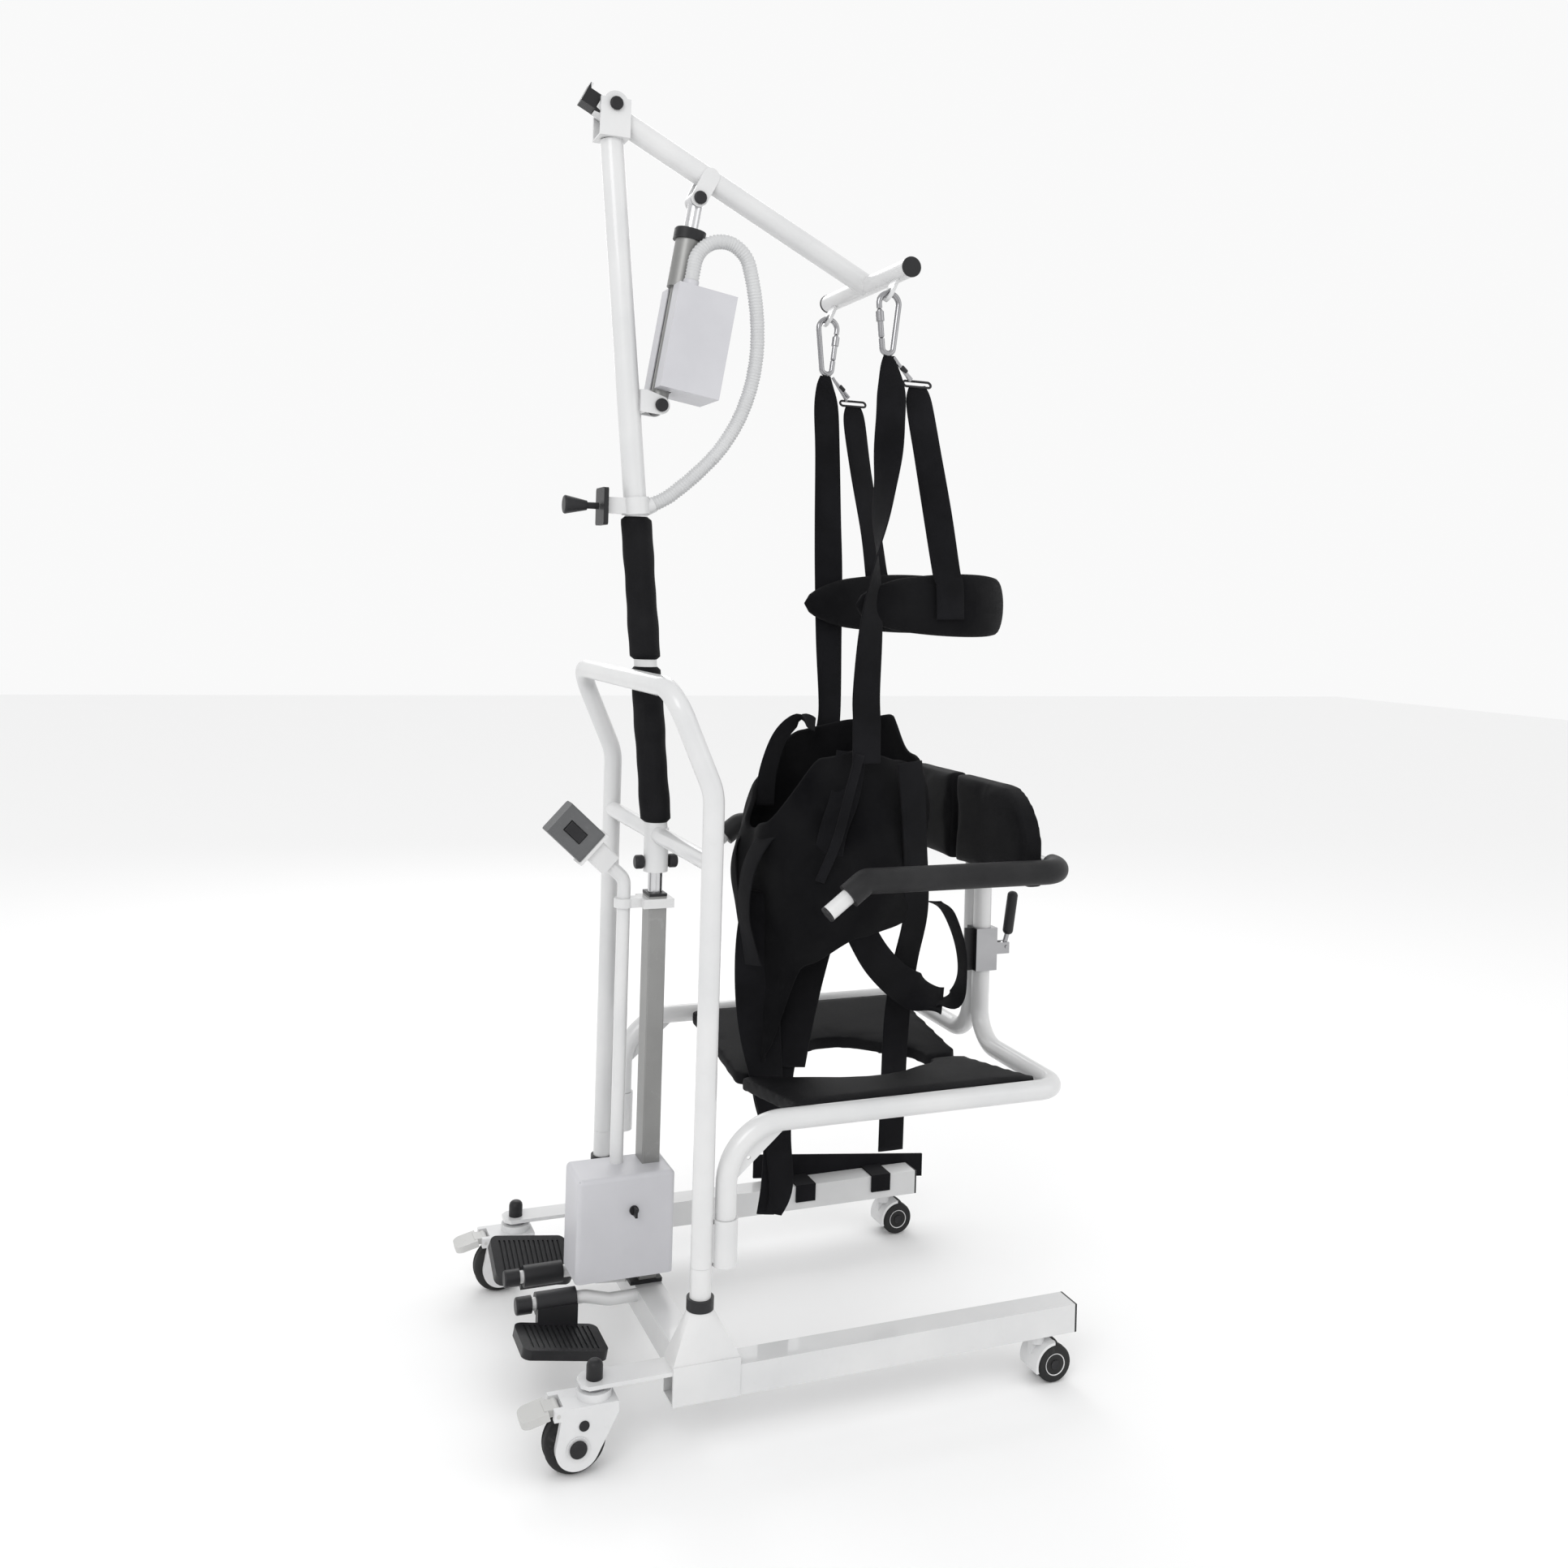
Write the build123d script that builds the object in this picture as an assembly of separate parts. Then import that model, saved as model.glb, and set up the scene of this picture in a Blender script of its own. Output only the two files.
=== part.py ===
"""Electric patient lift hoist: a wheeled transfer chair with a lifting gantry, boom and walking sling.

Millimetres, +X along the legs towards the twin casters, +Y to the far side, +Z up. While it is
modelled, x = 0 is the plane of the two lift posts, y = 0 the middle plane and z = 0 the floor. The
whole model is moved along X at the end, so that its origin is the bottom centre of its box.
"""
from build123d import *
import math
import os

os.makedirs("parts", exist_ok=True)

# ---------------------------------------------------------------- driving dimensions
TRACK = 575.0                # between the two leg centres, and the two posts
LEG_SIZE = 45.0              # square leg tube
LEG_WALL = 2.5
LEG_BOTTOM = 76.0            # underside of the legs above the floor
LEG_FRONT = -46.0            # open front end of the leg tubes
LEG_REAR = 636.0
CAP_PLATE = 4.0              # thickness of the plastic plates that close tube ends
PLATE_THICK = 6.0            # outrigger plates
CASTER_X = -157.0            # front swivel axes
SOCKET_REAR = 58.0           # rear edge of the welded post sockets
SOCKET_TOP = 203.0
SHEET = 3.0                  # sheet-metal wall of sockets, brackets and boxes
POST_OD = 32.0
POST_WALL = 2.0
BUTT_Z = 265.0               # where the lifting frame rests on the lower posts
GUIDE_TOP = 665.0            # top of the guide tubes inside the lifting frame
RUN_CLEAR = 0.08             # radial clearance of running fits
REST_GAP = 0.3               # gap between faces that only touch at rest
POST_BEND_Z = 962.0          # where the posts start to lean back
HANDLE_X = -68.0             # push handle
HANDLE_Z = 1117.0
CROSSBAR_OD = 28.0
CROSSBAR_Z = 857.0
COLUMN_X = 30.0              # lift column section
COLUMN_Y = 42.0
COLUMN_WALL = 2.5
COLUMN_TOP = 756.0
ROD_OD = 24.0
ROD_FOOT = 360.0
BOX_FRONT = -131.0           # control box
BOX_REAR = 30.0
BOX_NEAR = -62.0
BOX_FAR = 30.0
BOX_BOTTOM = 153.0
BOX_TOP = 318.0
STAND_X = -53.0              # handset post
STAND_OD = 22.0
MAST_OD = 38.0
MAST_LEAN = 5.5              # degrees back from upright
MAST_TOP = 1992.0
PIVOT_X = -110.0             # boom pivot
PIVOT_Z = 2044.0
PIVOT_RISE = 10.0            # pivot above the boom's own centre line
BOOM_OD = 38.0
BOOM_DROP = 26.3             # degrees below level at rest
BOOM_REACH = 525.0           # pivot to T-bar along the boom
BAR_OD = 32.0
BAR_LENGTH = 338.0
TAB_Y = 128.0                # eye tabs from the middle
TAB_REACH = 42.0             # T-bar centre to tab hole
TAB_HOLE = 18.0
WIRE = 10.0                  # carabiner wire
CARABINER_LENGTH = 110.0
ACT_FOOT_X = -19.0           # lower actuator pivot
ACT_FOOT_Z = 1564.0
EYE_X = 38.0                 # upper actuator pivot
EYE_Z = 1912.0
SEAT_OD = 32.0
SEAT_Z = 468.0               # centre line of the seat frame tubes
SEAT_REAR_X = 611.0
SLEEVE_OD = 38.0
SLEEVE_BOTTOM = 263.0
SLEEVE_TOP = 332.0
ARM_Z = 821.0
ARM_OD = 25.0
FOAM_OD = 40.0
ARM_FRONT_X = 190.0
PAD_OUTER_Z = 484.0          # seat pads slope down from here to the opening
PAD_SLOPE = 9.0              # degrees
PAD_THICK = 26.0
FRONT_WHEEL = 90.0           # front wheel diameter
FRONT_WHEEL_WIDTH = 30.0
FRONT_TRAIL = 28.0
REAR_WHEEL = 60.0
REAR_SWIVEL_X = 578.0
REAR_TRAIL = 22.0
FOOT_Y = 48.0                # footrest hinge tubes from the middle
FOOT_Z = 128.0
WEBBING = 50.0
WEB_THICK = 3.0
CONDUIT_OD = 25.0

# ---------------------------------------------------------------- worked-out places
HALF = TRACK / 2
LEG_TOP = LEG_BOTTOM + LEG_SIZE
POST_ID = POST_OD - 2 * POST_WALL
SLEEVE_X = POST_OD / 2 + SLEEVE_OD / 2 + 1
boom_angle = math.radians(BOOM_DROP)
BOOM_DIR = Vector(math.cos(boom_angle), 0, -math.sin(boom_angle))
BOOM_DOWN = Vector(-math.sin(boom_angle), 0, -math.cos(boom_angle))
PIVOT = Vector(PIVOT_X, 0, PIVOT_Z)
BOOM_START = PIVOT + BOOM_DOWN * PIVOT_RISE
BAR_CENTRE = BOOM_START + BOOM_DIR * BOOM_REACH
HANG = BAR_CENTRE + BOOM_DOWN * TAB_REACH
ACT_FOOT = Vector(ACT_FOOT_X, 0, ACT_FOOT_Z)
EYE = Vector(EYE_X, 0, EYE_Z)
ACT_DIR = (EYE - ACT_FOOT).normalized()
mast_angle = math.radians(MAST_LEAN)
MAST_DIR = Vector(-math.sin(mast_angle), 0, math.cos(mast_angle))
FRONT_AXLE_X = CASTER_X - FRONT_TRAIL
REAR_AXLE_X = REAR_SWIVEL_X + REAR_TRAIL

nodes = {}


# ---------------------------------------------------------------- helpers
def block(x0, x1, y0, y1, z0, z1):
    """A box given by its low and high sides."""
    return Pos((x0 + x1) / 2, (y0 + y1) / 2, (z0 + z1) / 2) * Box(x1 - x0, y1 - y0, z1 - z0)


def rod(start, end, diameter, bore=0.0):
    """A straight rod, or a tube where bore is given."""
    start = Vector(*start) if not isinstance(start, Vector) else start
    end = Vector(*end) if not isinstance(end, Vector) else end
    plane = Plane(origin=start, z_dir=end - start)
    section = Circle(diameter / 2)
    if bore:
        section = section - Circle(bore / 2)
    return extrude(plane * section, (end - start).length)


def bent_tube(points, radii, diameter, wall=0.0):
    """A round tube along straight runs joined by tangent arcs."""
    path = FilletPolyline(*points, radius=radii)
    section = Circle(diameter / 2)
    if wall:
        section = section - Circle(diameter / 2 - wall)
    return sweep((path ^ 0) * section, path=path)


def mirrored(shape):
    """The same piece on the far side."""
    return mirror(shape, about=Plane.XZ)


def both(shape):
    """A near piece and its far twin, kept as two solids."""
    return [shape, mirrored(shape)]


def solids_of(item):
    """The separate solids of a shape or a list of shapes."""
    if isinstance(item, (list, tuple)):
        found = []
        for part in item:
            found += solids_of(part)
        return found
    return list(item.solids())


def side_profile(outline, y0, y1):
    """A plate in an XZ plane: a sketch drawn with X across and Y up, spread from y0 to y1."""
    plane = Plane(origin=(0, y1, 0), x_dir=(1, 0, 0), z_dir=(0, -1, 0))
    return extrude(plane * outline, y1 - y0)


def on_mast(height):
    """The point of the mast's centre line at a height."""
    return Vector(-math.tan(mast_angle) * (height - CROSSBAR_Z), 0, height)


# ---------------------------------------------------------------- base frame
def square_tube(x0, x1, y, wall):
    """A leg tube along X."""
    half = LEG_SIZE / 2
    outer = block(x0, x1, y - half, y + half, LEG_BOTTOM, LEG_TOP)
    inner = block(x0, x1, y - half + wall, y + half - wall, LEG_BOTTOM + wall, LEG_TOP - wall)
    return outer - inner


leg = square_tube(LEG_FRONT, LEG_REAR, -HALF, LEG_WALL)
beam_end = HALF - LEG_SIZE / 2
beam = block(-LEG_SIZE / 2, LEG_SIZE / 2, -beam_end, beam_end, LEG_BOTTOM, LEG_TOP)
beam -= block(-LEG_SIZE / 2 + LEG_WALL, LEG_SIZE / 2 - LEG_WALL, -beam_end, beam_end,
              LEG_BOTTOM + LEG_WALL, LEG_TOP - LEG_WALL)
STEM_HOLE = 12.0
plate_end = CASTER_X - LEG_SIZE / 2
PLATE_REACH = -20.0          # rear edge of the outrigger plates, just clear of the posts
outline = Pos((plate_end + PLATE_REACH) / 2, 0) * Rectangle(PLATE_REACH - plate_end, LEG_SIZE)
outline = chamfer(outline.vertices().group_by(Axis.X)[0], 10)
outrigger = extrude(Pos(0, -HALF, LEG_TOP) * outline, PLATE_THICK)
outrigger -= rod((CASTER_X, -HALF, LEG_TOP), (CASTER_X, -HALF, LEG_TOP + PLATE_THICK), STEM_HOLE)
nodes["base_frame"] = both(leg) + [beam] + both(outrigger)

socket_mid = (LEG_FRONT + SOCKET_REAR) / 2
SKIRT_TOP = 133.0


def socket_shape(shrink):
    """The pyramid of a post socket: a short box, then a loft to a round top."""
    long_side = SOCKET_REAR - LEG_FRONT - 2 * shrink
    short_side = LEG_SIZE - 2 * shrink
    base = extrude(Pos(socket_mid, -HALF, LEG_TOP) * Rectangle(long_side, short_side), SKIRT_TOP - LEG_TOP)
    low = Pos(socket_mid, -HALF, SKIRT_TOP) * Rectangle(long_side, short_side)
    high = Pos(0, -HALF, SOCKET_TOP) * Circle(POST_OD / 2 + SHEET - shrink)
    return base + loft(Sketch() + [low, high])


socket = socket_shape(0) - socket_shape(SHEET)
socket -= rod((0, -HALF, LEG_TOP), (0, -HALF, SOCKET_TOP), POST_OD)
socket -= block(plate_end, PLATE_REACH, -HALF - LEG_SIZE / 2, -HALF + LEG_SIZE / 2, LEG_TOP, LEG_TOP + PLATE_THICK)
apron = block(LEG_FRONT, SOCKET_REAR, -HALF - LEG_SIZE / 2 - 2, -HALF - LEG_SIZE / 2, LEG_BOTTOM, SKIRT_TOP)
nodes["post_sockets"] = both(socket) + both(apron)

COLLAR_HEIGHT = 17.0
collar = rod((0, -HALF, SOCKET_TOP), (0, -HALF, SOCKET_TOP + COLLAR_HEIGHT), POST_OD + 9, POST_OD)
end_cap = block(LEG_REAR, LEG_REAR + CAP_PLATE, -HALF - LEG_SIZE / 2, -HALF + LEG_SIZE / 2,
                LEG_BOTTOM, LEG_TOP)
end_cap = fillet(end_cap.edges().group_by(Axis.X)[-1], 1.2)
plug_half = LEG_SIZE / 2 - LEG_WALL
end_cap += block(LEG_REAR - 12, LEG_REAR, -HALF - plug_half, -HALF + plug_half,
                 LEG_BOTTOM + LEG_WALL, LEG_TOP - LEG_WALL)
NUT_OD = 24.0
nut_z = LEG_TOP + PLATE_THICK
cap_nut = rod((CASTER_X, -HALF, nut_z), (CASTER_X, -HALF, nut_z + 27), NUT_OD)
cap_nut = fillet(cap_nut.edges().group_by(Axis.Z)[-1], 9)
cap_nut -= rod((CASTER_X, -HALF, nut_z), (CASTER_X, -HALF, nut_z + 14), STEM_HOLE)
nodes["base_caps"] = both(collar) + both(end_cap) + both(cap_nut)

lower_post = rod((0, -HALF, LEG_TOP), (0, -HALF, BUTT_Z), POST_OD, POST_OD - 2 * POST_WALL)
guide_od = POST_ID - 2 * RUN_CLEAR
lower_post += rod((0, -HALF, LEG_TOP), (0, -HALF, GUIDE_TOP), guide_od, guide_od - 5)
lower_post += rod((0, -HALF, LEG_TOP), (0, -HALF, BUTT_Z), POST_OD, guide_od - 5)
nodes["lower_posts"] = both(lower_post)

# ---------------------------------------------------------------- lift column, control box and handset
column_foot = LEG_TOP + 6
column = block(-COLUMN_X / 2, COLUMN_X / 2, -COLUMN_Y / 2, COLUMN_Y / 2, column_foot, COLUMN_TOP)
column = fillet(column.edges().filter_by(Axis.Z), 2)
column -= block(-COLUMN_X / 2 + COLUMN_WALL, COLUMN_X / 2 - COLUMN_WALL,
                -COLUMN_Y / 2 + COLUMN_WALL, COLUMN_Y / 2 - COLUMN_WALL, column_foot, COLUMN_TOP)
nodes["column_tube"] = column

CLAMP_Z = 738.0
CLAMP_THICK = 15.0
clamp = block(-COLUMN_X / 2 - 11, COLUMN_X / 2 + 11, -COLUMN_Y / 2 - 6, COLUMN_Y / 2 + 6,
              CLAMP_Z, CLAMP_Z + CLAMP_THICK)
clamp += block(STAND_X, -COLUMN_X / 2, -13, 13, CLAMP_Z, CLAMP_Z + CLAMP_THICK)
clamp += rod((STAND_X, 0, CLAMP_Z), (STAND_X, 0, CLAMP_Z + CLAMP_THICK), STAND_OD + 10)
clamp -= fillet(block(-COLUMN_X / 2, COLUMN_X / 2, -COLUMN_Y / 2, COLUMN_Y / 2, CLAMP_Z,
                      CLAMP_Z + CLAMP_THICK).edges().filter_by(Axis.Z), 2)
clamp -= rod((STAND_X, 0, CLAMP_Z), (STAND_X, 0, CLAMP_Z + CLAMP_THICK), STAND_OD)
seal = block(-COLUMN_X / 2, COLUMN_X / 2, -COLUMN_Y / 2, COLUMN_Y / 2, COLUMN_TOP, COLUMN_TOP + 5)
seal -= rod((0, 0, COLUMN_TOP), (0, 0, COLUMN_TOP + 5), ROD_OD + 2 * RUN_CLEAR)
foot_block = block(-30, 24, -24, 24, LEG_TOP, column_foot)
nodes["column_fittings"] = [clamp, seal, foot_block]

cover = block(BOX_FRONT, BOX_REAR, BOX_NEAR, BOX_FAR, BOX_BOTTOM, BOX_TOP)
cover = fillet(cover.edges().group_by(Axis.Z)[-1] + cover.edges().filter_by(Axis.Z), 8)
cover -= block(BOX_FRONT + SHEET, BOX_REAR - SHEET, BOX_NEAR + SHEET, BOX_FAR - SHEET,
               BOX_BOTTOM, BOX_TOP - SHEET)
cover -= block(-COLUMN_X / 2, COLUMN_X / 2, -COLUMN_Y / 2, COLUMN_Y / 2, BOX_BOTTOM, BOX_TOP)
cover -= rod((STAND_X, 0, BOX_BOTTOM), (STAND_X, 0, BOX_TOP), STAND_OD)
KEY_X = -39.0
KEY_Z = 262.0
KEY_BORE = 8.0
cover -= rod((KEY_X, BOX_NEAR - 1, KEY_Z), (KEY_X, BOX_NEAR + SHEET + 1, KEY_Z), KEY_BORE + 2 * RUN_CLEAR)
nodes["control_cover"] = cover

key = rod((KEY_X, BOX_NEAR + SHEET + 8, KEY_Z), (KEY_X, BOX_NEAR, KEY_Z), KEY_BORE)
key += rod((KEY_X, BOX_NEAR - REST_GAP, KEY_Z), (KEY_X, BOX_NEAR - 4, KEY_Z), 15)
key += rod((KEY_X, BOX_NEAR, KEY_Z), (KEY_X, BOX_NEAR - REST_GAP, KEY_Z), KEY_BORE)
key += block(KEY_X - 2, KEY_X + 2, BOX_NEAR - 17, BOX_NEAR - 4, KEY_Z - 7, KEY_Z + 7)
nodes["key_switch"] = key

battery = block(BOX_FRONT + 8, -74, BOX_NEAR + 6, BOX_FAR - 6, BOX_BOTTOM + 4, BOX_BOTTOM + 78)
battery_two = Pos(0, 0, 78) * battery
nodes["battery_pack"] = [battery, battery_two]
board = block(-36, -34, BOX_NEAR + 14, BOX_FAR - 6, BOX_BOTTOM + 8, BOX_TOP - 12)
board += block(-34, -22, -20, 10, BOX_BOTTOM + 30, BOX_BOTTOM + 70)
nodes["control_board"] = board

HEAD_ANGLE = 43.0
head_axis = Vector(-math.cos(math.radians(HEAD_ANGLE)), 0, math.sin(math.radians(HEAD_ANGLE)))
stand_corner = Vector(STAND_X, 0, 784)
SLEEVE_START = 36.0
SLEEVE_END = 76.0
RIM_THICK = 5.0
HEAD_LENGTH = 76.0
HEAD_WIDTH = 60.0
HEAD_DEPTH = 38.0
head_plane = Plane(origin=stand_corner, x_dir=(0, 1, 0), z_dir=head_axis)


def along_head(start, end, depth, width, radius):
    """A square-section piece along the handset's axis."""
    section = RectangleRounded(depth, width, radius)
    return extrude(head_plane.offset(start) * section, end - start)


stand = bent_tube([(STAND_X, 0, BOX_BOTTOM + 6), tuple(stand_corner),
                   tuple(stand_corner + head_axis * SLEEVE_START)], 24, STAND_OD, 2)
cradle = along_head(SLEEVE_START, SLEEVE_END, 32, 38, 4) + along_head(SLEEVE_END, SLEEVE_END + RIM_THICK,
                                                                    HEAD_DEPTH + 8, HEAD_WIDTH + 6, 4)
nodes["handset_stand"] = [stand, cradle]
head = along_head(SLEEVE_END + RIM_THICK, SLEEVE_END + RIM_THICK + HEAD_LENGTH, HEAD_DEPTH, HEAD_WIDTH, 5)
ROCKER_AT = SLEEVE_END + RIM_THICK + 40
rocker_centre = stand_corner + head_axis * ROCKER_AT
rocker_plane = Plane(origin=rocker_centre + Vector(0, -HEAD_DEPTH / 2, 0), x_dir=head_axis, z_dir=(0, -1, 0))
pocket = extrude(rocker_plane.offset(-6) * Rectangle(37, 21), 7)
nodes["handset_body"] = head - pocket
rocker = extrude(rocker_plane.offset(-4) * Rectangle(35, 19), 7)
nodes["handset_rocker"] = fillet(rocker.edges().group_by(Axis.Y)[0], 2)

# ---------------------------------------------------------------- footrests
FOOT_TUBE = 20.0
SLEEVE_FRONT = -192.0
SLEEVE_BACK = -128.0
FOOT_SLEEVE_OD = 34.0
foot_tube = bent_tube([(-LEG_SIZE / 2, -FOOT_Y + 12, LEG_TOP - 10), (-70, -FOOT_Y + 8, LEG_TOP - 8),
                       (-112, -FOOT_Y, FOOT_Z), (SLEEVE_FRONT - 14, -FOOT_Y, FOOT_Z)], 28, FOOT_TUBE)
foot_tube -= block(-LEG_SIZE / 2, LEG_SIZE / 2, -HALF, 0, LEG_BOTTOM, LEG_TOP)
foot_cap = rod((SLEEVE_FRONT - 7, -FOOT_Y, FOOT_Z), (SLEEVE_FRONT - 32, -FOOT_Y, FOOT_Z), 27)
foot_cap = fillet(foot_cap.edges().group_by(Axis.X)[0], 3)
foot_cap -= rod((SLEEVE_FRONT - 7, -FOOT_Y, FOOT_Z), (SLEEVE_FRONT - 14, -FOOT_Y, FOOT_Z), FOOT_TUBE)
nodes["foot_tubes"] = both(foot_tube) + both(foot_cap)

PLATE_INNER = 63.0
PLATE_OUTER = 153.0
PLATE_FRONT = -231.0
PLATE_BACK = -96.0
PLATE_TOP = 100.0
PLATE_TILT = 10.0
FOOT_PLATE = 15.0
FAR_PLATE_RAISED = 25.0      # the far plate is stored a little raised


def footplate():
    """A near footplate with its hinge sleeve, flat side down."""
    outline = Pos((PLATE_FRONT + PLATE_BACK) / 2, -(PLATE_INNER + PLATE_OUTER) / 2) * Rectangle(
        PLATE_BACK - PLATE_FRONT, PLATE_OUTER - PLATE_INNER)
    outline = fillet(outline.vertices(), 14)
    plate = extrude(Pos(0, 0, PLATE_TOP - FOOT_PLATE) * outline, FOOT_PLATE)
    ribs = 13
    for index in range(ribs):
        x = PLATE_FRONT + 16 + index * (PLATE_BACK - PLATE_FRONT - 32) / (ribs - 1)
        plate -= block(x - 1.6, x + 1.6, -PLATE_OUTER + 10, -PLATE_INNER - 8, PLATE_TOP - 2, PLATE_TOP + 1)
    middle = Vector((PLATE_FRONT + PLATE_BACK) / 2, 0, PLATE_TOP)
    plate = plate.rotate(Axis(tuple(middle), (0, 1, 0)), PLATE_TILT)
    sleeve = rod((SLEEVE_FRONT, -FOOT_Y, FOOT_Z), (SLEEVE_BACK, -FOOT_Y, FOOT_Z), FOOT_SLEEVE_OD)
    arm = block(SLEEVE_FRONT, SLEEVE_BACK, -PLATE_INNER - 6, -FOOT_Y - 4, 92, FOOT_Z)
    body = plate + sleeve + arm
    return body - rod((SLEEVE_FRONT, -FOOT_Y, FOOT_Z), (SLEEVE_BACK, -FOOT_Y, FOOT_Z),
                      FOOT_TUBE + 2 * RUN_CLEAR)


near_footplate = footplate()
far_footplate = mirrored(near_footplate).rotate(Axis((0, FOOT_Y, FOOT_Z), (1, 0, 0)), FAR_PLATE_RAISED)
nodes["footplate_near"] = near_footplate
nodes["footplate_far"] = far_footplate

# ---------------------------------------------------------------- front casters
FORK_WIDTH = 54.0
FORK_TOP = 103.0
FORK_SLOT = 34.0
AXLE_OD = 12.0
STEM_OD = 12.0
COLLAR_OD = 50.0
COLLAR_TOP = LEG_TOP - 6
axle_z = FRONT_WHEEL / 2
PEDAL_X = -214.0
PEDAL_Z = 95.0
crown = Pos(-167, FORK_TOP - 8) * Rectangle(80, 16)
cheek = Pos(FRONT_AXLE_X, axle_z) * Circle(32)
fork = side_profile(make_hull(crown.edges() + cheek.edges()), -HALF - FORK_WIDTH / 2, -HALF + FORK_WIDTH / 2)
fork += block(PEDAL_X - 6, PEDAL_X + 12, -HALF - FORK_WIDTH / 2, -HALF + FORK_WIDTH / 2,
              PEDAL_Z - 8, FORK_TOP)
fork += rod((CASTER_X, -HALF, FORK_TOP), (CASTER_X, -HALF, COLLAR_TOP - REST_GAP), COLLAR_OD)
fork -= block(-260, -60, -HALF - FORK_SLOT / 2, -HALF + FORK_SLOT / 2, 0, FORK_TOP - 10)
fork -= block(-260, PEDAL_X + 8, -HALF - FORK_SLOT / 2, -HALF + FORK_SLOT / 2, 0, FORK_TOP + 1)
fork -= rod((FRONT_AXLE_X, -HALF - 40, axle_z), (FRONT_AXLE_X, -HALF + 40, axle_z), AXLE_OD + 2 * RUN_CLEAR)
fork -= rod((PEDAL_X, -HALF - 40, PEDAL_Z), (PEDAL_X, -HALF + 40, PEDAL_Z), 6 + 2 * RUN_CLEAR)
fork -= rod((CASTER_X, -HALF, FORK_TOP - 10), (CASTER_X, -HALF, COLLAR_TOP), STEM_OD + 2 * RUN_CLEAR)
wheel = rod((FRONT_AXLE_X, -HALF - FRONT_WHEEL_WIDTH / 2, axle_z),
            (FRONT_AXLE_X, -HALF + FRONT_WHEEL_WIDTH / 2, axle_z), FRONT_WHEEL)
wheel = fillet(wheel.edges(), 7)
wheel += rod((FRONT_AXLE_X, -HALF - FORK_WIDTH / 2, axle_z), (FRONT_AXLE_X, -HALF + FORK_WIDTH / 2, axle_z),
             AXLE_OD)
for side in (-1, 1):
    wheel += rod((FRONT_AXLE_X, -HALF + side * (FORK_WIDTH / 2 + REST_GAP), axle_z),
                 (FRONT_AXLE_X, -HALF + side * (FORK_WIDTH / 2 + 4), axle_z), 34)
    wheel += rod((FRONT_AXLE_X, -HALF + side * FORK_WIDTH / 2, axle_z),
                 (FRONT_AXLE_X, -HALF + side * (FORK_WIDTH / 2 + REST_GAP), axle_z), AXLE_OD)
pedal = rod((PEDAL_X, -HALF - FORK_WIDTH / 2, PEDAL_Z), (PEDAL_X, -HALF + FORK_WIDTH / 2, PEDAL_Z), 6)
pedal += rod((PEDAL_X, -HALF - FORK_SLOT / 2 + 0.5, PEDAL_Z), (PEDAL_X, -HALF + FORK_SLOT / 2 - 0.5, PEDAL_Z), 12)
pedal += block(-232, PEDAL_X, -HALF - 15, -HALF + 15, PEDAL_Z - 5, PEDAL_Z + 5)
tread = block(-266, -226, -HALF - 23, -HALF + 23, PEDAL_Z - 7, PEDAL_Z + 4)
tread = fillet(tread.edges().filter_by(Axis.Z).group_by(Axis.X)[0], 14)
pedal += tread.rotate(Axis((-230, 0, PEDAL_Z), (0, 1, 0)), -14)
stem = rod((CASTER_X, -HALF, COLLAR_TOP), (CASTER_X, -HALF, LEG_TOP), 34)
stem += rod((CASTER_X, -HALF, FORK_TOP - 9), (CASTER_X, -HALF, nut_z + 13), STEM_OD)
nodes["caster_stems"] = both(stem)
nodes["front_fork_near"] = fork
nodes["front_fork_far"] = mirrored(fork)
nodes["front_wheel_near"] = wheel
nodes["front_wheel_far"] = mirrored(wheel)
nodes["brake_pedal_near"] = pedal
nodes["brake_pedal_far"] = mirrored(pedal)

# ---------------------------------------------------------------- rear twin-wheel casters
HOOD_WIDTH = 50.0
HOOD_REACH = 36.0
WEB = 11.0
rear_z = REAR_WHEEL / 2
hood = rod((REAR_AXLE_X, -HALF - HOOD_WIDTH / 2, rear_z), (REAR_AXLE_X, -HALF + HOOD_WIDTH / 2, rear_z),
           2 * HOOD_REACH)
hood -= rod((REAR_AXLE_X, -HALF - HOOD_WIDTH / 2, rear_z), (REAR_AXLE_X, -HALF + HOOD_WIDTH / 2, rear_z),
            REAR_WHEEL + 3)
hood -= block(REAR_AXLE_X - 1, REAR_AXLE_X + 60, -HALF - 40, -HALF + 40, -20, 80)
hood -= block(REAR_AXLE_X - 60, REAR_AXLE_X + 60, -HALF - 40, -HALF + 40, -20, rear_z - 10)
hood += rod((REAR_AXLE_X, -HALF - WEB / 2, rear_z), (REAR_AXLE_X, -HALF + WEB / 2, rear_z), REAR_WHEEL - 6)
hood += block(REAR_AXLE_X - 34, REAR_AXLE_X, -HALF - WEB / 2, -HALF + WEB / 2, rear_z - 10, rear_z + 34)
hood += rod((REAR_SWIVEL_X, -HALF, rear_z + 30), (REAR_SWIVEL_X, -HALF, LEG_BOTTOM - REST_GAP), 26)
hood -= rod((REAR_AXLE_X, -HALF - 40, rear_z), (REAR_AXLE_X, -HALF + 40, rear_z), 8 + 2 * RUN_CLEAR)
twin = rod((REAR_AXLE_X, -HALF - 24, rear_z), (REAR_AXLE_X, -HALF + 24, rear_z), 8)
for side in (-1, 1):
    disc = rod((REAR_AXLE_X, -HALF + side * 6.5, rear_z), (REAR_AXLE_X, -HALF + side * 24, rear_z), REAR_WHEEL)
    twin += fillet(disc.edges(), 4)
nodes["rear_hood_near"] = hood
nodes["rear_hood_far"] = mirrored(hood)
nodes["rear_wheels_near"] = twin
nodes["rear_wheels_far"] = mirrored(twin)

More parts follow.
